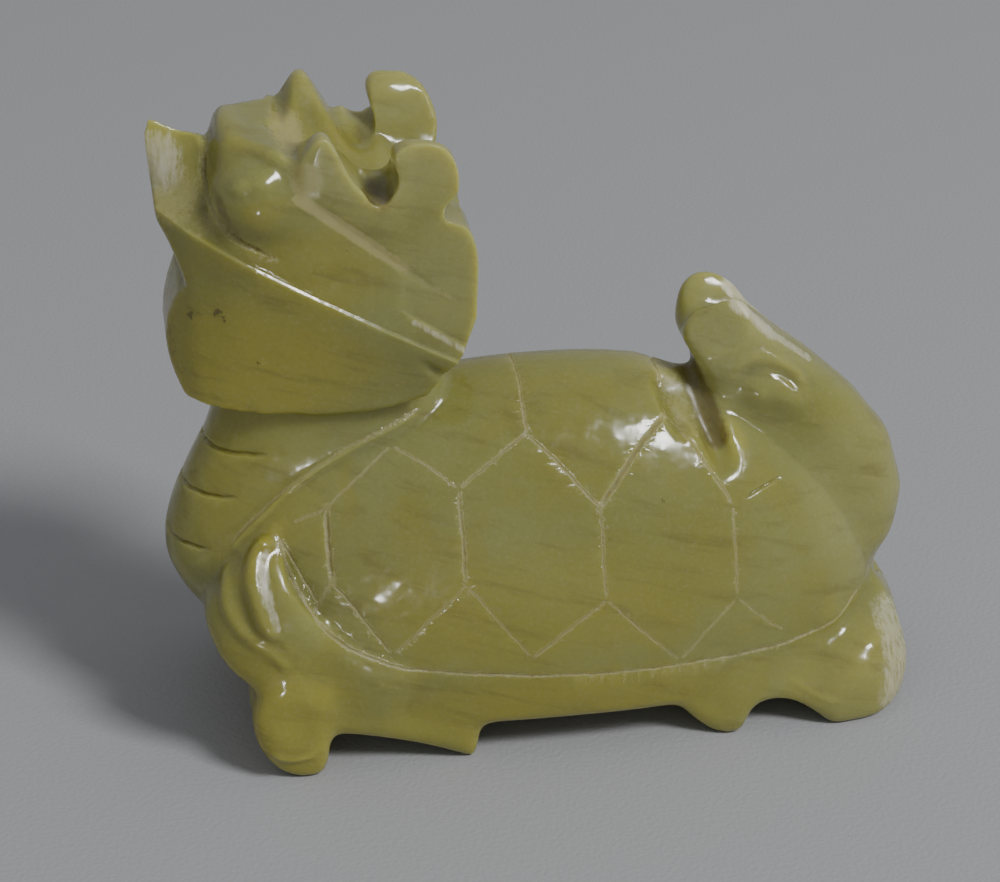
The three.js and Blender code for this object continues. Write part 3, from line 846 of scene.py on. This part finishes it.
side_line("gouge", [(-18.0, 44.3, 1.2), (-16, 42.7, 1.2), (-12.7, 39.9, 1.0), (-8.2, 36.2, 0.7)],
          depth=0.12, taper=2.0)
NECK_MIDDLE = -17
FOLD_SAMPLES = 90
# height, how far round the neck it reaches each way in degrees, and width
FOLDS = [(23.4, 50, 0.5), (20.1, 36, 0.46), (16.2, 30, 0.4)]
for height, reach, width in FOLDS:
    turns = np.radians(np.linspace(-reach, reach, FOLD_SAMPLES))
    ways = [(-math.cos(turn), math.sin(turn), 0) for turn in turns]
    starts, widths = [(NECK_MIDDLE, 0, height)] * FOLD_SAMPLES, [width] * FOLD_SAMPLES
    keep_line("fold", land(surface, starts, ways, widths), depth=0.3, taper=1.5)
print(len(lines), "lines in all")


# %% A finer net along the lines
def near_lip(points):
    """How many millimetres a point lies from the bevel of the lip, or of the short one after it."""
    x, _, z = points.T
    gap = np.abs((z - lip_height(x)) * math.cos(math.atan(LIP_FALL)) - LIP_BEVEL_WIDTH / 2)
    echo = np.abs((z - echo_height(x)) * math.cos(math.atan(ECHO_FALL)) - LIP_BEVEL_WIDTH / 2)
    gap = np.where(x > ECHO_START[0], np.minimum(gap, echo), gap)
    return np.where(on_head_region(points) > 0.5, gap, 9)


def refine(mesh, reach):
    """Halves the net's squares that lie within reach of a line or of the lip."""
    points = read_points(mesh)
    chosen = near_lip(points) < reach + 0.3
    for line in lines:
        near, best, across = touched(points, line, line["half"].max() + reach + 0.4)
        chosen[near[np.abs(across) < line["half"][best] + reach]] = True
    net = bmesh.new()
    net.from_mesh(mesh)
    wanted = [e for e in net.edges if chosen[e.verts[0].index] and chosen[e.verts[1].index]]
    bmesh.ops.subdivide_edges(net, edges=wanted, cuts=1, use_grid_fill=True)
    net.to_mesh(mesh)
    net.free()


refine(stone.data, 0.25)
refine(stone.data, 0.1)
print("refined to", len(stone.data.vertices), "points")


# %% Cutting the lines
def cut_lines(points):
    """Presses each line's V into the net."""
    sink = np.zeros(len(points))
    direction = np.zeros_like(points)
    for line in lines:
        near, best, across = touched(points, line, line["half"].max() + 0.6)
        depth = line["depth"][best] * np.maximum(0, 1 - np.abs(across) / line["half"][best])
        deeper = depth > sink[near]
        sink[near[deeper]] = depth[deeper]
        direction[near[deeper]] = line["outward"][best[deeper]]
    return points - sink[:, None] * direction, sink


points = read_points(stone.data)
trued, _ = true_head(points, read_normals(stone.data))
points += ramp(near_lip(points), 0.55, 0.3)[:, None] * (trued - points)
points, cut_depth = cut_lines(points)
write_points(stone.data, points)
print("deepest cut", round(cut_depth.max(), 3))

# %% [markdown]
# The even net has far more squares than the flat places need. A decimation joins the flat ones
# and leaves the small ones where the stone bends, which keeps the cuts and edges sharp.

# %% Fewer triangles where the stone is flat
TRIANGLE_LIMIT = 196000
triangles = sum(len(face.vertices) - 2 for face in stone.data.polygons)
thin = stone.modifiers.new("thin", "DECIMATE")
thin.ratio = min(1, TRIANGLE_LIMIT / triangles)
apply_modifiers(stone)
print(triangles, "triangles before, and", len(stone.data.polygons), "after")

# %% [markdown]
# Where the polishing drum couldn't reach, the stone stayed dull. How much of that each cut has is
# kept on the mesh as a share from 0 to 1, which the material reads, and so is how thin the stone
# is, because light shines through its thin edges.

# %% Dull cuts
# the collar's cut is not listed here and keeps a full share, so there the pale colour is a painted
# highlight
LINE_DULLNESS = {"gouge": 0.0, "snout groove": 0.4, "fold": 0.1, "crease": 0.0}

points = read_points(stone.data)
dull = np.zeros(len(points))
for line in lines:
    near, best, across = touched(points, line, line["half"].max() + 0.4)
    share = ramp(np.abs(across) - line["half"][best], 0.05, -0.05)
    share *= LINE_DULLNESS.get(line["name"], 1.0) * ramp(line["depth"][best], 0, 0.06)
    dull[near] = np.maximum(dull[near], share)
print("dull cuts, mean share", round(float(dull.mean()), 3))


# %% Thin edges
def inner_reach(mesh, limit):
    """How many millimetres of stone lie under each point, straight inwards, up to a limit."""
    tree = surface_tree(mesh)
    reach = np.full(len(mesh.vertices), float(limit))
    for n, vertex in enumerate(mesh.vertices):
        inward = -vertex.normal
        hit = tree.ray_cast(vertex.co + inward * 0.05, inward, limit)
        if hit[3] is not None:
            reach[n] = hit[3]
    return reach


THIN_BELOW = 5
edges = read_edges(stone.data)
thinness = ramp(inner_reach(stone.data, THIN_BELOW), THIN_BELOW, 0.6)
thinness = drift(thinness[:, None], edges, 0.7, 8)[:, 0]


def keep_share(mesh, name, values):
    mesh.attributes.new(name, "FLOAT", "POINT").data.foreach_set("value", values.astype(np.float32))


keep_share(stone.data, "dull_cuts_and_collar_highlight", dull)
keep_share(stone.data, "thinness", thinness)
print("thinness, mean share", round(float(thinness.mean()), 3))

# %% [markdown]
# Serpentine of this kind is a cloudy yellow-green, greyer in some places and warmer in others,
# with faint streaks of darker bands and a few brown inclusions. Light goes some millimetres deep,
# so thin edges glow yellow. Each effect is worked out as a share from 0 to 1, and only then do
# the shares mix colours.

# %% Node tools
def feed(tree, socket, value):
    """Links a socket to another one, or gives it a value."""
    if isinstance(value, bpy.types.NodeSocket):
        tree.links.new(value, socket)
    else:
        socket.default_value = value


def add_node(tree, kind, settings=(), **sockets):
    """A shader node with settings, with values or links on its sockets."""
    node = tree.nodes.new(kind)
    for name, value in dict(settings).items():
        setattr(node, name, value)
    for name, value in sockets.items():
        feed(tree, node.inputs[name.replace("_", " ")], value)
    return node


def noise(tree, place, scale, detail=4.0, roughness=0.55, distortion=0.0):
    node = add_node(tree, "ShaderNodeTexNoise", Vector=place, Scale=scale, Detail=detail,
                    Roughness=roughness, Distortion=distortion)
    return node.outputs["Fac"]


def stretch(tree, value, low, high, to_low=0.0, to_high=1.0):
    """Maps a value from one range onto another, with a smooth step, and stops at its ends."""
    node = add_node(tree, "ShaderNodeMapRange", {"interpolation_type": "SMOOTHSTEP"}, Value=value)
    for number, limit in enumerate((low, high, to_low, to_high)):
        node.inputs[number + 1].default_value = limit
    return node.outputs["Result"]


def combine(tree, operation, first, second=0.0):
    """The result of a sum, a product or the like of two numbers."""
    node = add_node(tree, "ShaderNodeMath", {"operation": operation})
    feed(tree, node.inputs[0], first)
    feed(tree, node.inputs[1], second)
    return node.outputs[0]


def between(tree, operation, first, second, result="Vector"):
    """The same for two places: the result is a place, or a number if it is called Value."""
    node = add_node(tree, "ShaderNodeVectorMath", {"operation": operation})
    feed(tree, node.inputs[0], first)
    feed(tree, node.inputs[1], second)
    return node.outputs[result]


def blend(tree, share, first, second):
    """Mixes two colours, each a colour or a socket."""
    node = add_node(tree, "ShaderNodeMix", {"data_type": "RGBA"})
    for name, value in (("Factor_Float", share), ("A_Color", first), ("B_Color", second)):
        socket = next(one for one in node.inputs if one.identifier == name)
        feed(tree, socket, (*value, 1) if isinstance(value, tuple) else value)
    return next(one for one in node.outputs if one.identifier == "Result_Color")


def read_share(tree, name):
    return add_node(tree, "ShaderNodeAttribute", {"attribute_name": name}).outputs["Fac"]


def new_group(name, inputs, outputs):
    """An empty node group with sockets, given as names and kinds."""
    group = bpy.data.node_groups.new(name, "ShaderNodeTree")
    for direction, sockets in (("INPUT", inputs), ("OUTPUT", outputs)):
        for title, kind in sockets.items():
            group.interface.new_socket(title, in_out=direction, socket_type=kind)
    return group, group.nodes.new("NodeGroupInput"), group.nodes.new("NodeGroupOutput")


# %% Clouds and bands in the stone
# All places in the stone are in millimetres, in the frame.
clouding, inside, out = new_group(
    "clouds_and_bands", {"Place": "NodeSocketVector"},
    {"Clouds": "NodeSocketFloat", "Warmth": "NodeSocketFloat", "Bands": "NodeSocketFloat",
     "Flecks": "NodeSocketFloat"},
)
place = inside.outputs["Place"]
clouds = stretch(clouding, noise(clouding, place, 0.11, 3, 0.5, 0.4), 0.3, 0.7)
clouding.links.new(clouds, out.inputs["Clouds"])
warmth = stretch(clouding, noise(clouding, place, 0.2, 2, 0.6, 0.8), 0.4, 0.75)
clouding.links.new(warmth, out.inputs["Warmth"])
BAND_TILT = (0.0, 0.3, 0.0)  # the bands run down towards the tail, as the lip does
tilted = add_node(clouding, "ShaderNodeMapping", {"vector_type": "TEXTURE"}, Vector=place,
                  Rotation=BAND_TILT, Scale=(7.0, 2.0, 0.9))
bands = noise(clouding, tilted.outputs["Vector"], 0.8, 4, 0.65, 0.5)
clouding.links.new(stretch(clouding, bands, 0.5, 0.75), out.inputs["Bands"])
flecks = noise(clouding, place, 3.2, 3, 0.75)
clouding.links.new(stretch(clouding, flecks, 0.5, 0.72), out.inputs["Flecks"])
print("clouds and bands are ready")

# %% [markdown]
# Some faces stayed dull as a whole: the snout, the dip between brow and horns, the gouge on the
# cheek and the bevel before the tail are tan; the lower lip is brown; the end of a hind foot and
# the back of the tail tip are frosted white. The same brown is painted shade in the bottom of the
# slot and along the snout groove, and dirt and painted shade in the drilled pits. The same white is
# a painted highlight down the shoulder's ridge and along the short bevel behind the lip. The change
# from end to end is painted light: a painted sheen makes the horns, the tail and the hind quarters
# paler, and the low faces in shade, the jaw, the cheek, the neck under the head, the skirt and the
# feet, are painted lighter and a deeper yellow.
# Each place is an egg or a rod of space in the stone, alike on both sides of the figure.

# %% Eggs and rods
def grid_place(x, y, z):
    return (x + SHIFT, y, z)


def egg_share(tree, place, middle, reach):
    """1 in the middle of an egg, 0 from its reach on."""
    apart = between(tree, "SUBTRACT", place, grid_place(*middle))
    scaled = between(tree, "DIVIDE", apart, reach)
    away = between(tree, "DISTANCE", scaled, (0, 0, 0), "Value")
    return stretch(tree, away, 1.15, 0.45)


def rod_share(tree, place, start, end, reach):
    """1 along a rod between two places, 0 from its reach on."""
    start, end = Vector(grid_place(*start)), Vector(grid_place(*end))
    way = end - start
    apart = between(tree, "SUBTRACT", place, start)
    along = between(tree, "DOT_PRODUCT", apart, way / way.length_squared, "Value")
    held = combine(tree, "MINIMUM", combine(tree, "MAXIMUM", along, 0.0), 1.0)
    foot = add_node(tree, "ShaderNodeVectorMath", {"operation": "SCALE"},
                    Vector=tuple(way), Scale=held)
    away = between(tree, "DISTANCE", apart, foot.outputs["Vector"], "Value")
    return stretch(tree, away, reach * 1.15, reach * 0.55)


# %% Places in the stone
# eggs: middle, reach and strength; rods: start, end, reach and strength
DULL = [
    ((-26.6, 3.0, 43.6), (2.4, 3.2, 3.0), 0.6), ((-25.0, 5.0, 42.4), (2.2, 1.4, 1.9), 0.7),
    ((-18.4, 0.0, 45.8), (1.8, 6.0, 2.3), 0.75), ((-17.6, 6.2, 45.4), (1.4, 1.8, 1.8), 0.7),
    ((8.6, 0.0, 27.4), (10.0, 4.6, 23.6), 1.3, 0.5),
    ((-18.2, 6.9, 44.2), (-12.7, 7.0, 39.9), 0.58, 1.0),
    ((-12.7, 7.0, 39.9), (-7.6, 7.0, 35.8), 0.52, 1.0),
]
# the lower lip's brown is the stone's own; the rods down the slot and along the snout groove are
# painted shade, and the pit under the horns is dirt and painted shade
BROWN_AND_SHADE_PLACES = [
    ((-12.7, 5.4, 43.7), (1.4, 2.4, 1.3), 0.9), ((-27.2, 0.0, 32.0), (1.0, 3.8, 5.2), 0.6),
    ((10.7, 0.0, 26.6), (12.1, 4.6, 22.4), 1.1, 0.9),
    ((-24.2, 5.3, 45.0), (-22.6, 6.2, 41.4), 0.55, 0.6),
]
GLOWING = [
    ((12.8, 5.4, 22.4), (1.7, 2.2, 2.4), 0.9), ((10.9, 0.0, 30.6), (0.9, 1.6, 1.5), 0.6),
    ((9.8, 9.5, 1.4), (3.2, 3.6, 2.4), 0.7), ((-14.5, 10.5, 2.6), (6.0, 3.0, 2.2), 0.3),
]
# frosted stone at the hind foot, the back of the tail tip and the snout; the three rods down the
# shoulder and the last rod, along the bevel behind the lip, are painted highlights
FROST_AND_HIGHLIGHT_PLACES = [
    ((26.6, 6.4, 7.0), (26.2, 9.0, 2.0), 2.5, 0.5),
    ((14.2, 1.5, 31.7), (16.4, 1.6, 29.3), 0.95, 0.9),
    ((16.4, 1.6, 29.3), (19.4, 1.4, 26.9), 0.6, 0.6), ((-27.2, 1.6, 45.4), (1.9, 3.0, 2.4), 0.7),
    ((-20.8, 6.3, 17.9), (-22.0, 7.9, 16.8), 0.5, 0.6),
    ((-22.0, 7.9, 16.8), (-21.7, 9.8, 14.4), 0.6, 0.6),
    ((-21.7, 9.8, 14.4), (-21.2, 10.6, 12.8), 0.45, 0.5),
    ((-10.4, 7.1, 34.4), (-6.9, 7.0, 31.9), 0.36, 0.9),
]
# painted sheen: the horns, the tail, the hind quarters and the face under the horn are painted
# paler, where upward faces mirror the pale room
PAINTED_SHEEN_PLACES = [
    ((-12.0, 6.0, 47.0), (7.5, 3.0, 6.0), 0.9), ((13.0, 0.0, 29.0), (8.0, 6.0, 7.0), 0.9),
    ((23.5, 5.0, 17.0), (6.0, 8.0, 8.0), 0.6), ((24.0, 8.0, 3.0), (9.0, 7.0, 5.0), 0.5),
    ((-8.0, 6.5, 38.0), (4.0, 2.5, 6.0), 0.5),
]
# painted light: low faces in shade, the jaw, the feet, the skirt, the neck under the head and the
# cheek, are painted lighter and a deeper yellow
PAINTED_LOW_LIGHT_PLACES = [
    ((-21.0, 4.0, 31.0), (9.5, 8.0, 7.0), 1.0), ((-21.0, 9.0, 5.0), (9.0, 6.0, 8.0), 0.8),
    ((21.5, 8.5, 3.5), (8.0, 5.0, 4.5), 0.4),
    ((0.0, 10.0, 4.0), (17.0, 5.0, 4.5), 0.9), ((-3.0, 9.0, 12.0), (16.0, 6.0, 6.0), 0.6),
    ((-22.0, 4.0, 21.0), (7.0, 8.0, 7.0), 0.55), ((-17.0, 6.5, 38.0), (5.0, 2.5, 4.5), 0.7),
]
ZONES = {
    "Dull": DULL, "Brown_and_painted_shade": BROWN_AND_SHADE_PLACES, "Glowing": GLOWING,
    "Frosted_and_painted_highlight": FROST_AND_HIGHLIGHT_PLACES, "Painted_sheen": PAINTED_SHEEN_PLACES, "Painted_low_light": PAINTED_LOW_LIGHT_PLACES,
}

zoning, inside, out = new_group(
    "places_in_the_stone", {"Place": "NodeSocketVector"},
    {title: "NodeSocketFloat" for title in ZONES},
)
apart = add_node(zoning, "ShaderNodeSeparateXYZ", Vector=inside.outputs["Place"])
one_side = combine(zoning, "ABSOLUTE", apart.outputs["Y"])
folded = add_node(zoning, "ShaderNodeCombineXYZ",
                  X=apart.outputs["X"], Y=one_side, Z=apart.outputs["Z"]).outputs["Vector"]
for title, shapes in ZONES.items():
    total = 0.0
    for *shape, strength in shapes:
        share = (egg_share if len(shape) == 2 else rod_share)(zoning, folded, *shape)
        total = combine(zoning, "MAXIMUM", combine(zoning, "MULTIPLY", share, strength), total)
    zoning.links.new(total, out.inputs[title])
print("places in the stone:", {title: len(shapes) for title, shapes in ZONES.items()})

# %% [markdown]
# The inclusions are few, so each has its place: brown grains of uneven outline.

# %% Inclusions
# place on the carver's grid, and size
INCLUSIONS = [
    ((-23.9, -5.1, 35.4), 0.36), ((-23.5, -5.2, 35.0), 0.2), ((-25.8, -4.2, 34.9), 0.26),
    ((-14.9, -7.0, 40.1), 0.16), ((-18.2, -6.8, 41.2), 0.12), ((-16.9, -6.9, 41.6), 0.1),
    ((7.3, -8.5, 19.5), 0.12), ((-21.3, -5.6, 31.4), 0.12), ((-12.0, 6.9, 37.8), 0.3),
    ((5.5, 10.9, 9.6), 0.24), ((-4.0, 4.4, 26.2), 0.14),
]


def spot_share(tree, place, middle, size):
    """1 in a spot, 0 out of it."""
    away = between(tree, "DISTANCE", place, middle, "Value")
    return stretch(tree, away, size * 1.3, size * 0.5)


RAGGEDNESS = 0.5  # how far the noise moves places, in millimetres
spotting, inside, out = new_group(
    "inclusions", {"Place": "NodeSocketVector"}, {"Inclusions": "NodeSocketFloat"})
place = inside.outputs["Place"]
ragged = add_node(spotting, "ShaderNodeTexNoise", Vector=place, Scale=3.5, Detail=4)
centred = between(spotting, "SUBTRACT", ragged.outputs["Color"], (0.5, 0.5, 0.5))
astray = between(spotting, "MULTIPLY", centred, (RAGGEDNESS * 2,) * 3)
moved = between(spotting, "ADD", astray, place)
share = 0.0
for middle, size in INCLUSIONS:
    spot = spot_share(spotting, moved, grid_place(*middle), size)
    share = combine(spotting, "MAXIMUM", spot, share)
spotting.links.new(share, out.inputs["Inclusions"])
print(len(INCLUSIONS), "inclusions")

# %% Colours of the stone
OLIVE = (0.236, 0.232, 0.052)
GREY_GREEN = (0.248, 0.256, 0.085)
WARM = (0.264, 0.236, 0.040)
# the next two tones are painted light: a paler sheen, and a lighter, deeper yellow for low faces in
# shade
PAINTED_SHEEN_TONE = (0.350, 0.350, 0.150)
PAINTED_LOW_LIGHT_TONE = (0.318, 0.286, 0.037)
BAND = (0.150, 0.125, 0.028)
THIN_YELLOW = (0.40, 0.38, 0.08)
LINE_STONE = (0.40, 0.36, 0.17)
TAN = (0.42, 0.37, 0.165)
# brown for the lower lip, and also painted shade in the slot, the snout groove and the pits
BROWN_AND_SHADE_TONE = (0.15, 0.115, 0.032)
# white for frost and flecks, and also for painted highlights on the shoulder and behind the lip
FROST_AND_HIGHLIGHT_WHITE = (0.58, 0.56, 0.45)
INCLUSION = (0.06, 0.04, 0.012)
print("the stone's own colours are", OLIVE, "and", GREY_GREEN)

# %% Places and noise in the stone
stone_material, tree, shader = new_material("polished_stone")
position = add_node(tree, "ShaderNodeTexCoord").outputs["Object"]
scaled = add_node(tree, "ShaderNodeVectorMath", {"operation": "SCALE"},
                  Vector=position, Scale=1 / MM)
place = scaled.outputs[0]
clouds = add_node(tree, "ShaderNodeGroup", {"node_tree": clouding}, Place=place)
zones = add_node(tree, "ShaderNodeGroup", {"node_tree": zoning}, Place=place)
spots = add_node(tree, "ShaderNodeGroup", {"node_tree": spotting}, Place=place)
grit = noise(tree, place, 3.0, 4, 0.75)
upright = add_node(tree, "ShaderNodeMapping", Vector=place, Scale=(2.4, 1.2, 0.5)).outputs[0]
streaks = noise(tree, upright, 1.2, 3, 0.75)
print("the stone has", len(tree.nodes), "nodes before its colours")

# %% Shares of the unpolished places

def broken(share, softness=0.45, grain=1.4, breaker=grit):
    """A share whose edge is broken up by the grit or the streaks of the stone."""
    noisy = combine(tree, "MULTIPLY", combine(tree, "SUBTRACT", breaker, 0.5), grain)
    lifted = combine(tree, "ADD", share, noisy)
    shown = stretch(tree, lifted, 0.5 - softness, 0.5 + softness)
    return combine(tree, "MULTIPLY", shown, stretch(tree, share, 0.0, 0.25))


dull_share = broken(zones.outputs["Dull"])
# the brown share also carries painted shade
brown_and_shade_share = broken(zones.outputs["Brown_and_painted_shade"], 0.5)
# the frost share also carries painted highlights
frost_and_highlight_share = broken(zones.outputs["Frosted_and_painted_highlight"], 0.7, 2.2, streaks)
cuts = read_share(tree, "dull_cuts_and_collar_highlight")
cut_share = broken(cuts, 0.5, 2.0)
print("dull, brown, frosted and cut places have broken edges")

# %% [markdown]
# The colours lie over one another like glazes. Each layer is a share of the surface, the amount
# of its tone where that share is full, and the tone.

# %% Layers of colour
LAYERS = [
    (clouds.outputs["Warmth"], 0.5, WARM),
    # painted sheen, then painted light on the low faces in shade
    (zones.outputs["Painted_sheen"], 0.6, PAINTED_SHEEN_TONE),
    (zones.outputs["Painted_low_light"], 0.7, PAINTED_LOW_LIGHT_TONE),
    (clouds.outputs["Bands"], 0.45, BAND),
    (clouds.outputs["Flecks"], 0.08, FROST_AND_HIGHLIGHT_WHITE),
    (stretch(tree, grit, 0.45, 0.7), 0.14, BAND),
    (read_share(tree, "thinness"), 0.22, THIN_YELLOW),
    (zones.outputs["Glowing"], 0.5, THIN_YELLOW),
    (dull_share, 0.62, TAN),
    # brown, and painted shade in the slot, the snout groove and the pits
    (brown_and_shade_share, 0.75, BROWN_AND_SHADE_TONE),
    # cut lines, and a painted highlight along the collar
    (cut_share, 0.6, LINE_STONE),
    # frost, and painted highlights on the shoulder and behind the lip
    (frost_and_highlight_share, 0.75, FROST_AND_HIGHLIGHT_WHITE),
    (spots.outputs["Inclusions"], 0.65, INCLUSION),
]
colour = blend(tree, clouds.outputs["Clouds"], OLIVE, GREY_GREEN)
for share, amount, tone in LAYERS:
    colour = blend(tree, combine(tree, "MULTIPLY", share, amount), colour, tone)
tree.links.new(colour, shader.inputs["Base Color"])
print(len(LAYERS), "layers of colour")

# %% Roughness
BROWN_ROUGHNESS = 0.4  # a brown place is less rough than a tan one
POLISHED = (0.12, 0.24)
UNPOLISHED = 0.35  # what a place without polish adds
rough_cuts = combine(tree, "MAXIMUM", dull_share, cut_share)
rough_grains = combine(tree, "MULTIPLY", brown_and_shade_share, BROWN_ROUGHNESS)
rough_grains = combine(tree, "MAXIMUM", rough_grains, frost_and_highlight_share)
unpolished = combine(tree, "MAXIMUM", rough_cuts, rough_grains)
haze = stretch(tree, noise(tree, place, 0.6, 2, 0.7), 0.4, 0.75, *POLISHED)
roughness = combine(tree, "ADD", haze, combine(tree, "MULTIPLY", unpolished, UNPOLISHED))
tree.links.new(roughness, shader.inputs["Roughness"])
print("polished stone has a roughness of", POLISHED[0], "to", POLISHED[1])

# %% [markdown]
# A hand-polished stone is never quite even: its skin waves a little, which breaks its highlights.
# Where the wheel has cut it, it keeps the grain of the grit.

# %% The stone's skin
RIPPLE_HEIGHT = 0.06  # in millimetres
TOOTH_HEIGHT = 0.11
STONE_IOR = 1.56
GLOW_DEPTHS = (1.0, 0.88, 0.38)  # how deep red, green and blue light go, as shares of the next
GLOW_DEPTH = 0.0034  # in metres
ripples = combine(tree, "MULTIPLY", noise(tree, place, 0.7, 1, 0.5), RIPPLE_HEIGHT)
tooth = combine(tree, "MULTIPLY", noise(tree, place, 5.5, 1, 0.7), TOOTH_HEIGHT)
height = combine(tree, "ADD", ripples, combine(tree, "MULTIPLY", tooth, cuts))
skin = add_node(tree, "ShaderNodeBump", Height=height, Distance=MM, Strength=1.0).outputs["Normal"]
tree.links.new(skin, shader.inputs["Normal"])
shader.inputs["IOR"].default_value = STONE_IOR
shader.inputs["Subsurface Weight"].default_value = 1.0
shader.inputs["Subsurface Radius"].default_value = GLOW_DEPTHS
shader.inputs["Subsurface Scale"].default_value = GLOW_DEPTH
stone.data.materials.clear()
stone.data.materials.append(stone_material)
print("the stone has", len(tree.nodes), "nodes")

# %% Back to metres
stone.data.transform(Matrix.Translation((SHIFT, 0, 0)))
stone.data.transform(Matrix.Scale(MM, 4))
for face in stone.data.polygons:
    face.use_smooth = True
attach(stone, "root")
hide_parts("dragon_turtle")

print("triangles:", sum(len(face.vertices) - 2 for face in stone.data.polygons))
